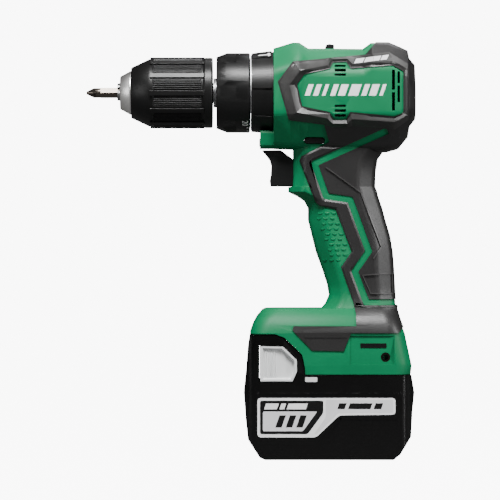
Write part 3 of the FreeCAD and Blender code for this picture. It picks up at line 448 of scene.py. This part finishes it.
# %% The steel nose of the chuck
NOSE_OUTLINE = [
    (-132.5, 6.9), (-132.9, 7.4), (-132.9, 10.2), (-132.5, 10.7), (-127.0, 13.7), (-126.2, 13.9),
    (-110.0, 13.9), (-110.0, 6.9),
]


def make_nose():
    bm = bmesh.new()
    spin_outline(bm, NOSE_OUTLINE)
    return settle("chuck_nose", closed(bm), "chuck_spindle", "chuck_steel")


round_edges(make_nose(), 0.15)
print("steel nose made")


# %% [markdown]
# The mode ring is a thin cone under ten arcs. Each arc is spun through only
# part of a turn, and its own rise makes it a thumb pad, a rim or a hollow.

# %% The mode ring: a thin cone with arcs of different height on it
RING_BASE = [(-49.0, 24.4), (-49.0, 24.3), (-49.0, 25.0), (-35.1, 26.2), (-35.1, 24.4)]
RING_ARCS = [  # (start, sweep, rise), in degrees and millimetres
    (-31, 27, 0.0), (-4, 40.7, -1.1), (36.7, 36, -0.25), (72.7, 36, -1.1), (108.7, 40, 0.0),
    (148.7, 40, -1.1), (188.7, 36, -0.25), (224.7, 36, -1.1), (260.7, 41, -0.25), (301.7, 27.3, -1.1),
]
ARC_INSIDE, ARC_FRONT, ARC_REAR = 24.6, 25.6, 27.1
ARC_STEP = 4  # degrees between the sections of an arc


def make_mode_ring():
    bm = bmesh.new()
    spin_outline(bm, RING_BASE)
    for start, sweep, rise in RING_ARCS:
        outline = [(RING_FRONT, ARC_INSIDE), (RING_FRONT, ARC_FRONT + rise),
                   (RING_REAR, ARC_REAR + rise), (RING_REAR, ARC_INSIDE)]
        spin_outline(bm, outline, steps=max(4, round(sweep / ARC_STEP)), angle=sweep, start=start)
    return settle("mode_ring_moulding", closed(bm), "mode_ring", "black_plastic", covers=["mode_ring"])


round_edges(make_mode_ring(), 0.25)
print("mode ring made")


# %% [markdown]
# A ring that turns needs narrow gaps in front of and behind it. A fixed ring
# sits deep in each gap, so that no light shows through from the far side.

# %% The fixed rings in the mode ring's gaps
MOUTH_OUTLINES = [
    [(-51.4, 20.2), (-51.4, 22.1), (-49.6, 22.1), (-49.6, 20.2)],
    [(-35.0, 24.2), (-35.0, 26.6), (-33.8, 26.6), (-33.8, 24.2)],
]


def make_mouth_rings():
    bm = bmesh.new()
    for outline in MOUTH_OUTLINES:
        spin_outline(bm, outline)
    settle("mouth_rings", closed(bm), "drill_body", "black_plastic")


make_mouth_rings()
print("mouth rings made")


# %% [markdown]
# Prints, plates and small moulded marks lie on a curved wall, so their flat
# outlines are dropped on it: each corner is sent along Y until it meets the
# engineering surface. The outline is first sliced into a grid of a few
# millimetres so that it can follow the curve.

# %% Dropping an outline on the wall
def wall_tree(*nodes, extra=()):
    bm = bmesh.new()
    for node in nodes:
        bm.from_mesh(frame["nodes"][node].data)
    for piece in extra:
        bm.from_mesh(bpy.data.objects[piece].data)
    tree = BVHTree.FromBMesh(bm)
    bm.free()
    return tree


WALLS = {
    "body": {side: wall_tree(f"{hand}_housing", f"{hand}_overmould") for side, hand in SIDES.items()},
    "battery": {side: wall_tree("battery_upper_case", "battery_lower_case") for side in (-1, 1)},
}
FAR = 0.08  # metres from the middle plane, outside every wall
NO_WALL = 0.02  # metres, where a ray meets nothing
SLICE = 1e-7


def on_wall(x, z, side, wall="body"):
    """Where the wall lies along Y at a point of the side view, in metres."""
    hit = WALLS[wall][side].ray_cast(Vector((x, side * FAR, z)), Vector((0, -side, 0)))[0]
    return hit.y if hit else side * NO_WALL


def drop_plate(bm, outline, side, rise, sink=0.3, wall="body", corner=0.0, grid=3.0):
    """A plate of (station, height) corners, from sink below the wall to rise above it."""
    verts = [bm.verts.new((x * MM, 0.0, z * MM)) for x, z in outline]
    face = bm.faces.new(verts)
    new = set(verts)
    if corner:
        made = bmesh.ops.bevel(
            bm, geom=verts, offset=corner * MM, offset_type="OFFSET", segments=4, profile=0.5,
            affect="VERTICES", material=-1,
        )
        new = set(made["verts"])
    faces = {f for v in new for f in v.link_faces}
    for axis, normal in ((0, ALONG), (2, UP)):
        spots = [v.co[axis] for f in faces for v in f.verts]
        count = int((max(spots) - min(spots)) / (grid * MM))
        for k in range(1, count + 1):
            spot = [0.0, 0.0, 0.0]
            spot[axis] = min(spots) + k * (max(spots) - min(spots)) / (count + 1)
            parts = {e for f in faces for e in f.edges} | {v for f in faces for v in f.verts} | faces
            cut = bmesh.ops.bisect_plane(bm, geom=list(parts), dist=SLICE, plane_co=spot, plane_no=normal)
            faces = {g for g in cut["geom"] if isinstance(g, bmesh.types.BMFace)}
    verts = {v for f in faces for v in f.verts}
    heights = {v: on_wall(v.co.x, v.co.z, side, wall) for v in verts}
    for vert, y in heights.items():
        vert.co.y = y - side * sink * MM
    lifted = bmesh.ops.extrude_face_region(bm, geom=list(faces), use_keep_orig=True)
    tops = [g for g in lifted["geom"] if isinstance(g, bmesh.types.BMVert)]
    bmesh.ops.translate(bm, verts=tops, vec=(0, side * (rise + sink) * MM, 0))


def make_plate(name, outlines, side, rise, body, slot, look=None, wall="body", corner=0.0,
               sink=0.3, grid=3.0):
    bm = bmesh.new()
    for outline in outlines:
        drop_plate(bm, outline, side, rise, sink=sink, wall=wall, corner=corner, grid=grid)
    bmesh.ops.recalc_face_normals(bm, faces=bm.faces)
    settle(name, bm, body, slot, look)


def slanted(x, z, length, height):
    """A leaning bar, as (station, height) corners."""
    lean = height * 0.35
    return [(x, z), (x + length, z), (x + length + lean, z + height), (x + lean, z + height)]


PRINT_RISE = 0.12
BAR_LOW, BAR_HEIGHT = 229.6, 7.2
PANEL_BARS = [  # (station, length)
    (-15.4, 3.2), (-10.2, 3.2), (-4.6, 2.2), (0.6, 3.2), (5.4, 4.6), (12.0, 6.2), (20.2, 3.2), (25.0, 4.6),
    (31.6, 2.2),
]
# Each vent gets a dark sheet deep inside it: painted shade in place of the lit parts behind the slots.
VENTS = [
    [(1.8, 240.8), (12.6, 240.8), (12.6, 251.0), (1.8, 251.0)],
    [(1.8, 214.8), (12.6, 214.8), (12.6, 225.0), (1.8, 225.0)],
    [(38.4, 218.6), (46.0, 220.0), (46.0, 246.6), (38.4, 247.4)],
]
SHADE_SHEET_RISE, SHADE_SHEET_SINK = -3.4, 3.9  # dark sheets of painted shade lie deep in the vents
bars = [slanted(x, BAR_LOW, length, BAR_HEIGHT) for x, length in PANEL_BARS]
for side, hand in SIDES.items():
    make_plate(f"panel_bars_{hand}", bars, side, PRINT_RISE, "drill_body", "green_plastic", "white_print")
    make_plate(f"vent_shade_sheet_{hand}", VENTS, side, SHADE_SHEET_RISE, "drill_body", "black_plastic",
               sink=SHADE_SHEET_SINK)
# the vent screens named here are the dark sheets of painted shade
print("prints and vent screens made")


# %% [markdown]
# The rubber loop round the side panel is faceted: it climbs from its outer
# edge to a crest and drops steeply to the panel, so its top catches the light
# and its inner wall stays dark. Three loops of corners are bridged while flat,
# with the height kept in Y, then sliced and dropped on the wall.

# %% The faceted rubber loop
LOOP = [  # (outer corner, crest corner, inner corner), each (station, height)
    ((-32.4, 238.6), (-25.2, 236.2), (-20.0, 236.9)), ((-22.8, 251.6), (-18.2, 245.4), (-15.6, 242.8)),
    ((-2.5, 253.6), (-1.0, 248.9), (0.4, 246.5)), ((1.2, 254.2), (2.0, 252.9), (2.8, 250.6)),
    ((12.2, 255.1), (11.7, 253.3), (10.8, 251.0)), ((15.6, 255.5), (15.0, 249.6), (13.7, 246.5)),
    ((38.0, 257.6), (41.0, 251.6), (40.2, 248.6)), ((50.2, 250.2), (49.4, 246.6), (47.0, 245.0)),
    ((50.6, 214.6), (49.4, 217.4), (47.0, 219.0)), ((41.8, 208.4), (41.8, 213.0), (41.0, 216.7)),
    ((14.6, 210.6), (14.5, 214.8), (13.4, 219.5)), ((11.6, 209.6), (11.5, 212.0), (10.8, 214.7)),
    ((2.4, 209.6), (2.5, 212.0), (3.2, 214.7)), ((-1.6, 211.0), (-1.2, 215.2), (0.4, 219.5)),
    ((-25.6, 214.8), (-20.6, 219.0), (-16.8, 223.2)),
]
LOOP_RISES = (0.15, 2.0, -0.9)  # above the wall, for the outer, crest and inner corners
LOOP_MIDDLE = Vector((14.0, 232.0))
INNER_PULL = 0.975
LOOP_CUTS = ((0, ALONG, -32.0, 21), (2, UP, 210.0, 12))  # (axis, normal, first, count)
LOOP_GRID = 4.0
LOOP_THICKNESS = 0.8


def make_loop(side, hand):
    bm = bmesh.new()
    rings = []
    for k, rise in enumerate(LOOP_RISES):
        pull = INNER_PULL if k == 2 else 1.0
        spots = [LOOP_MIDDLE + (Vector(row[k]) - LOOP_MIDDLE) * pull for row in LOOP]
        verts = [bm.verts.new((spot.x * MM, rise * MM, spot.y * MM)) for spot in spots]
        rings.append([bm.edges.new((a, b)) for a, b in zip(verts, verts[1:] + verts[:1])])
    for low, high in zip(rings, rings[1:]):
        bmesh.ops.bridge_loops(bm, edges=low + high)
    for axis, normal, first, count in LOOP_CUTS:
        for k in range(count):
            spot = Vector((0, 0, 0))
            spot[axis] = (first + LOOP_GRID * k) * MM
            bmesh.ops.bisect_plane(bm, geom=everything(bm), dist=SLICE, plane_co=spot, plane_no=normal)
    for vert in bm.verts:
        vert.co.y = on_wall(vert.co.x, vert.co.z, side) + side * vert.co.y
    bmesh.ops.recalc_face_normals(bm, faces=bm.faces)
    if sum(side * face.normal.y for face in bm.faces) < 0:
        bmesh.ops.reverse_faces(bm, faces=bm.faces)
    bmesh.ops.solidify(bm, geom=bm.faces[:], thickness=LOOP_THICKNESS * MM)
    settle(f"rubber_loop_{hand}", bm, "drill_body", "black_rubber", "loop_rubber", sharp=14)


WALLS["loop"] = {}
for side, hand in SIDES.items():
    make_loop(side, hand)
    walls = (f"{hand}_housing", f"{hand}_overmould")
    WALLS["loop"][side] = wall_tree(*walls, extra=[f"rubber_loop_{hand}"])
print("rubber loops made")


# %% [markdown]
# A printed stripe crosses the top of the loop. It is dropped on the wall with
# the loop laid over it, which is why the loops had to come first.

# %% The stripe over the loop
STRIPE_LOW, STRIPE_HIGH = 250.1, 253.3
STRIPE_LEAN, STRIPE_SLOPE = 1.6, 0.12
STRIPE_BARS = [(15.8, 5.4, 0.0), (22.0, 9.6, 0.7), (32.4, 4.0, 2.0)]  # (station, length, lift)


def stripe_bar(x, length, lift):
    low, high = STRIPE_LOW + lift, STRIPE_HIGH + lift
    climb = length * STRIPE_SLOPE
    return [(x, low), (x + length, low + climb), (x + length + STRIPE_LEAN, high + climb),
            (x + STRIPE_LEAN, high)]


stripe = [stripe_bar(*bar) for bar in STRIPE_BARS]
for side, hand in SIDES.items():
    make_plate(f"top_stripe_{hand}", stripe, side, PRINT_RISE, "drill_body", "black_rubber", "silver_print",
               wall="loop", grid=1.0)
print("stripes made")


# %% [markdown]
# The grip has rows of half-moon pips on its green cheek and fine raised
# borders on its rubber; the foot has a ridge along its rubber band, and a dark
# plate of painted shade stands for the slot of the belt hook. Each is a small
# closed shape laid on the wall.

# %% Strips along a route
def lay_strip(name, route, width, side, rise, slot, look=None, wall="body", ride="drill_body"):
    """A strip of even width along a route, laid on the wall."""
    bm = bmesh.new()
    points = [Vector((x, z)) for x, z in route]
    for start, end in zip(points, points[1:]):
        along = (end - start).normalized() * width / 2
        across = Vector((-along.y, along.x))
        corners = [start - along + across, start - along - across,
                   end + along - across, end + along + across]
        drop_plate(bm, [tuple(c) for c in corners], side, rise, grid=2.5, wall=wall)
    bmesh.ops.recalc_face_normals(bm, faces=bm.faces)
    settle(name, bm, ride, slot, look)


# %% Rows of half-moon pips
PIP_ROWS, PIP_COLUMNS = 10, 3
PIP_TOP, PIP_DROP, PIP_STEP, PIP_STAGGER = 155.6, 3.3, 4.3, 2.1
PIP_MARGIN = 2.6
MOON = [(-1.5, 0.5), (-1.1, -0.4), (0, -0.9), (1.1, -0.4), (1.5, 0.5)]


def cheek_edge(z):
    """The station of the cheek's rear edge, which is made of two straight lines."""
    return min(4.9 + (158.2 - z) * 0.364, 14.7 - (131.3 - z) * 0.71)


def lay_pips(side, hand):
    bm = bmesh.new()
    for row in range(PIP_ROWS):
        z = PIP_TOP - PIP_DROP * row
        for column in range(PIP_COLUMNS):
            x = cheek_edge(z) - PIP_MARGIN - PIP_STEP * column - (PIP_STAGGER if row % 2 else 0.0)
            drop_plate(bm, [(x + dx, z + dz) for dx, dz in MOON], side, 0.4, sink=0.2, grid=9.0)
    bmesh.ops.recalc_face_normals(bm, faces=bm.faces)
    round_edges(settle(f"grip_pips_{hand}", bm, "drill_body", "green_plastic"), 0.15)


# %% Pips, borders, foot ridge and the hook slot's painted shade on both sides
HOOK_SLOT_SHADE = [(19.6, 70.6), (36.0, 70.6), (36.0, 73.4), (19.6, 73.4)]
GRIP_BORDER = [(-1.6, 184.6), (20.4, 168.8), (33.6, 134.4), (28.6, 127.0)]
LOW_BORDER = [(21.6, 116.2), (40.6, 117.4), (41.0, 104.4), (26.8, 104.6), (21.6, 116.2)]
FOOT_RIDGE = [(-15.0, 77.4), (10.6, 77.4)]
BORDER_WIDTH, BORDER_RISE = 0.6, 1.0
for side, hand in SIDES.items():
    lay_pips(side, hand)
    # painted shade: a near-black plate stands in for the shadow in the belt-hook slot
    make_plate(f"hook_slot_shade_{hand}", [HOOK_SLOT_SHADE], side, 0.3, "drill_body", "black_plastic", "label_film",
               corner=0.5)
    for name, route in (("grip_border", GRIP_BORDER), ("low_border", LOW_BORDER)):
        lay_strip(f"{name}_{hand}", route, BORDER_WIDTH, side, BORDER_RISE, "black_rubber", "edge_rubber")
    lay_strip(f"foot_ridge_{hand}", FOOT_RIDGE, 0.9, side, 0.35, "black_rubber")
print("grip and foot details made")


# %% [markdown]
# The clutch dial has twenty settings. Every third one has its number, a text
# object turned into a mesh, laid along the dial and wrapped round it; the
# settings between have a short tick.

# %% Numbers and ticks on the clutch dial
def wrapped_text(words, height, station, turn, radius):
    """Corners and faces of a word wrapped round the spindle line, reading along the round."""
    curve = bpy.data.curves.new("words", "FONT")
    curve.body = words
    curve.size = height
    curve.align_x = "CENTER"
    curve.align_y = "CENTER"
    maker = bpy.data.objects.new("words", curve)
    mesh = bpy.data.meshes.new_from_object(maker)
    bpy.data.objects.remove(maker)
    bpy.data.curves.remove(curve)
    for vert in mesh.vertices:
        across = math.radians(turn) + vert.co.x / radius
        vert.co = Vector((
            (station + vert.co.y) * MM, -radius * math.cos(across) * MM,
            (AXIS_HEIGHT - radius * math.sin(across)) * MM,
        ))
    return mesh


SETTINGS = 20
DIAL_STEP, LAST_TURN = 11.4, 51.6  # degrees, counted downwards from the middle of the left side
NUMBER_EVERY = 3
NUMBER_SIZE, NUMBER_STATION, MARK_RADIUS = 5.2, -53.2, 25.62
TICK = (-52.2, -50.9, 25.3, MARK_RADIUS, 0.5)  # first, last, low, high, width


def make_dial_marks():
    bm = bmesh.new()
    for number in range(1, SETTINGS + 1):
        turn = LAST_TURN + DIAL_STEP * (SETTINGS - number)
        if (SETTINGS - number) % NUMBER_EVERY:
            bar_on_sleeve(bm, *TICK, turn)
            continue
        mesh = wrapped_text(str(number), NUMBER_SIZE, NUMBER_STATION, turn, MARK_RADIUS)
        bm.from_mesh(mesh)
        bpy.data.meshes.remove(mesh)
    settle("dial_numbers", bm, "clutch_dial", "black_plastic", "white_print")


make_dial_marks()
print("dial marks made")


# %% [markdown]
# The mode ring shows a drill bit, a screw and a hammer as plain signs. Each is
# two bars in line, laid at its own turn on the ring's cone.

# %% Signs on the mode ring
RING_SLOPE = 0.122
SIGNS = {  # turn in degrees: bars of (first, last, width)
    -84: [(-45.0, -38.4, 1.0), (-46.6, -45.0, 2.2)],
    -64: [(-44.6, -38.6, 1.2), (-38.6, -37.0, 4.6)],
    -104: [(-45.0, -38.6, 1.6), (-46.4, -45.0, 0.7)],
}


def make_mode_marks():
    bm = bmesh.new()
    for turn, bars in SIGNS.items():
        for first, last, width in bars:
            bar_on_sleeve(bm, first, last, 24.9, 25.45, width, turn, slope=RING_SLOPE)
    settle("mode_marks", bm, "mode_ring", "black_plastic", "white_print")


make_mode_marks()
print("mode marks made")


# %% [markdown]
# The battery's label is a printed film: a white border, a dark field above a
# pale one, and a plain run of leaning bars where a maker would put words. Each
# layer stands a few hundredths of a millimetre above the one below.

# %% The battery label
LABEL_EDGE = [(-45.2, 39.1), (41.6, 39.1), (41.6, 28.6), (6.3, 28.2), (-8.4, 14.3), (-45.2, 14.3)]
DARK_FIELD = [(-43.6, 37.4), (-3.8, 37.4), (-3.8, 29.8), (-13.6, 16.4), (-43.6, 16.4)]
PALE_FIELD = [(-41.8, 30.6), (-7.6, 30.6), (-16.6, 18.2), (-41.8, 18.2)]
GREY_FIELD = [
    (-2.2, 37.9), (40.2, 37.9), (40.2, 29.9), (5.6, 29.5), (-7.8, 16.4), (-9.6, 16.4), (-2.2, 27.0),
]
SMALL_BAR = 3.6
PALE_BARS = [slanted(x, 32.0, length, SMALL_BAR)
             for x, length in ((-41.0, 8.0), (-31.4, 3.0), (-26.8, 12.0))]
DARK_BARS = [slanted(x, 20.6, 4.0, 7.6) for x in (-34.0, -27.4, -20.8)]
NAME_BARS = [slanted(x, 32.2, length, SMALL_BAR) for x, length in ((5.0, 4.6), (11.8, 14.0), (28.0, 4.6))]


def make_label(side, hand):
    def layer(name, outlines, rise, look, corner=0.0):
        make_plate(f"label_{name}_{hand}", outlines, side, rise, "battery", "label_film", look,
                   wall="battery", corner=corner, sink=0.1)

    layer("border", [LABEL_EDGE], 0.10, "white_print", 2.0)
    layer("grey_field", [GREY_FIELD], 0.14, "silver_print", 0.8)
    layer("dark_field", [DARK_FIELD], 0.18, "label_film", 1.2)
    layer("pale_field", [PALE_FIELD], 0.21, "silver_print", 0.8)
    layer("pale_bars", PALE_BARS, 0.22, "white_print")
    layer("dark_bars", DARK_BARS, 0.25, "label_film")
    layer("name_bars", NAME_BARS, 0.23, "label_film")


RELIEF_EDGE = [(-7.0, 9.9), (7.0, 25.9), (47.4, 25.9)]
TAG = [(-15.2, 49.2), (-7.6, 49.2), (-7.6, 52.2), (-15.2, 52.2)]
for side, hand in SIDES.items():
    make_label(side, hand)
    lay_strip(f"battery_relief_{hand}", RELIEF_EDGE, 1.2, side, 0.22, "battery_plastic",
              wall="battery", ride="battery")
    make_plate(f"battery_tag_{hand}", [TAG], side, PRINT_RISE, "battery", "battery_plastic", "silver_print",
               wall="battery", corner=0.6, sink=0.1)
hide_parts("battery_labels")
print("labels made")


# %% [markdown]
# The latch button is a pale moulding with a raised rim round a sloping, ribbed
# thumb face. The rim is the outline pushed outwards, the face is inset and
# sunk, and the ribs are slim upright bars.

# %% The latch buttons
LATCH_EDGE = [(-43.5, 49.4), (-43.5, 71.9), (-29.1, 71.5), (-20.3, 63.0), (-20.3, 55.5), (-23.1, 49.4)]
LATCH_BASE, LATCH_FACE = 31.4, 37.1  # distances from the middle plane
RIM_WIDTH, RIM_STEP, THUMB_SINK = 1.5, 0.7, 1.4
SLOPE_FROM = -30.0  # corners of the thumb face behind this station sink twice as deep
THUMB_RIBS = 6
RIB_SIZE = (0.6, 1.6, 17.4)


def make_latch(side, hand):
    bm = bmesh.new()
    verts = [bm.verts.new((x * MM, side * LATCH_BASE * MM, z * MM)) for x, z in LATCH_EDGE]
    bm.faces.new(verts)
    lifted = bmesh.ops.extrude_face_region(bm, geom=bm.faces[:], use_keep_orig=True)
    tops = [g for g in lifted["geom"] if isinstance(g, bmesh.types.BMVert)]
    bmesh.ops.translate(bm, verts=tops, vec=(0, side * (LATCH_FACE - LATCH_BASE) * MM, 0))
    bmesh.ops.recalc_face_normals(bm, faces=bm.faces)
    face = max(bm.faces, key=lambda f: side * f.calc_center_median().y)
    for width, sink in ((RIM_WIDTH, 0.0), (RIM_STEP, THUMB_SINK)):
        bmesh.ops.inset_individual(bm, faces=[face], thickness=width * MM, depth=-sink * MM,
                                   use_even_offset=True)
    sloped = [v for v in face.verts if v.co.x > SLOPE_FROM * MM]
    bmesh.ops.translate(bm, verts=sloped, vec=(0, -side * THUMB_SINK * MM, 0))
    for k in range(THUMB_RIBS):
        made = bmesh.ops.create_cube(bm, size=1.0)["verts"]
        bmesh.ops.scale(bm, verts=made, vec=[length * MM for length in RIB_SIZE])
        place = (-40.0 + 1.3 * k, side * (35.2 - 0.08 * k), 60.8)
        bmesh.ops.translate(bm, verts=made, vec=Vector(place) * MM)
    piece = settle(f"latch_button_{hand}_moulding", bm, f"latch_{hand}", "grey_plastic",
                   covers=[f"latch_button_{hand}"])
    round_edges(piece, 0.35)


for side, hand in SIDES.items():
    make_latch(side, hand)
print("latch buttons made")


# %% [markdown]
# The floor is white and there are five soft lamps: a strong key from above, a
# faint one at the chuck's end, a rim lamp behind, one beyond the battery's heel
# and a narrow low strip. The surroundings are bright to the camera and nearly
# dark to the object, so the lamps shape it and its undersides go dark.

# %% The floor
SEEN, FELT = 9.0, 0.035


def bright_to_camera(tree, seen, felt):
    """A strength that is high where the camera looks and low where light is gathered."""
    path = add(tree, "ShaderNodeLightPath")
    mix = add(tree, "ShaderNodeMapRange")
    mix.inputs["To Min"].default_value = felt
    mix.inputs["To Max"].default_value = seen
    wire(tree, path.outputs["Is Camera Ray"], mix.inputs["Value"])
    return mix.outputs["Result"]


def make_floor():
    bm = bmesh.new()
    bmesh.ops.create_grid(bm, x_segments=1, y_segments=1, size=4.0)
    mesh = bpy.data.meshes.new("studio_floor")
    bm.to_mesh(mesh)
    bm.free()
    floor = bpy.data.objects.new("studio_floor", mesh)
    bpy.context.scene.collection.objects.link(floor)
    material = bpy.data.materials.new("studio_paper")
    material.use_nodes = True
    tree = material.node_tree
    shader = tree.nodes["Principled BSDF"]
    shader.inputs["Base Color"].default_value = (0.08, 0.08, 0.08, 1.0)
    shader.inputs["Roughness"].default_value = 0.9
    shader.inputs["Emission Color"].default_value = (1.0, 1.0, 1.0, 1.0)
    wire(tree, bright_to_camera(tree, SEEN, 0.0), shader.inputs["Emission Strength"])
    mesh.materials.append(material)


make_floor()
print("floor made")


# %% Lamps and surroundings
TARGET = Vector((-0.0499, 0.0, 0.1322))
LAMPS = [  # (name, place, width and height in metres, power in watts)
    ("key", (-0.12, -0.60, 1.14), 0.60, 0.24, 38),
    ("side", (-0.9, -0.60, 0.35), 0.25, 0.5, 2),
    ("rim", (0.20, 0.45, 0.95), 0.5, 0.4, 3),
    ("heel", (0.95, -0.50, 0.50), 0.14, 0.5, 9),
    ("strip", (0.80, -1.90, 0.15), 0.07, 0.5, 4),
]


def soft_light(name, place, width, height, power):
    data = bpy.data.lights.new(name, "AREA")
    data.shape = "RECTANGLE"
    data.size = width
    data.size_y = height
    data.energy = power
    lamp = bpy.data.objects.new(name, data)
    lamp.location = place
    lamp.rotation_euler = (TARGET - Vector(place)).to_track_quat("-Z", "Y").to_euler()
    bpy.context.scene.collection.objects.link(lamp)


for lamp_row in LAMPS:
    soft_light(*lamp_row)

world = bpy.data.worlds.new("studio")
world.use_nodes = True
backdrop = world.node_tree.nodes["Background"]
backdrop.inputs["Color"].default_value = (1, 1, 1, 1)
strength = bright_to_camera(world.node_tree, SEEN, FELT)
wire(world.node_tree, strength, backdrop.inputs["Strength"])
bpy.context.scene.world = world
print(len(LAMPS), "lamps placed")


# %% [markdown]
# The camera looks straight at the left side from far away with a long lens, so
# the drill's outline is hardly bent by perspective.

# %% The camera
FRAME_WIDTH = 0.320
DISTANCE = 2.2
view = bpy.data.cameras.new("camera")
view.sensor_width = 36.0
view.lens = view.sensor_width * DISTANCE / FRAME_WIDTH
camera = bpy.data.objects.new("camera", view)
camera.location = TARGET + Vector((0, -DISTANCE, 0))
camera.rotation_euler = (math.radians(90), 0, 0)
bpy.context.scene.collection.objects.link(camera)
bpy.context.scene.camera = camera
print("camera placed at", DISTANCE, "m")
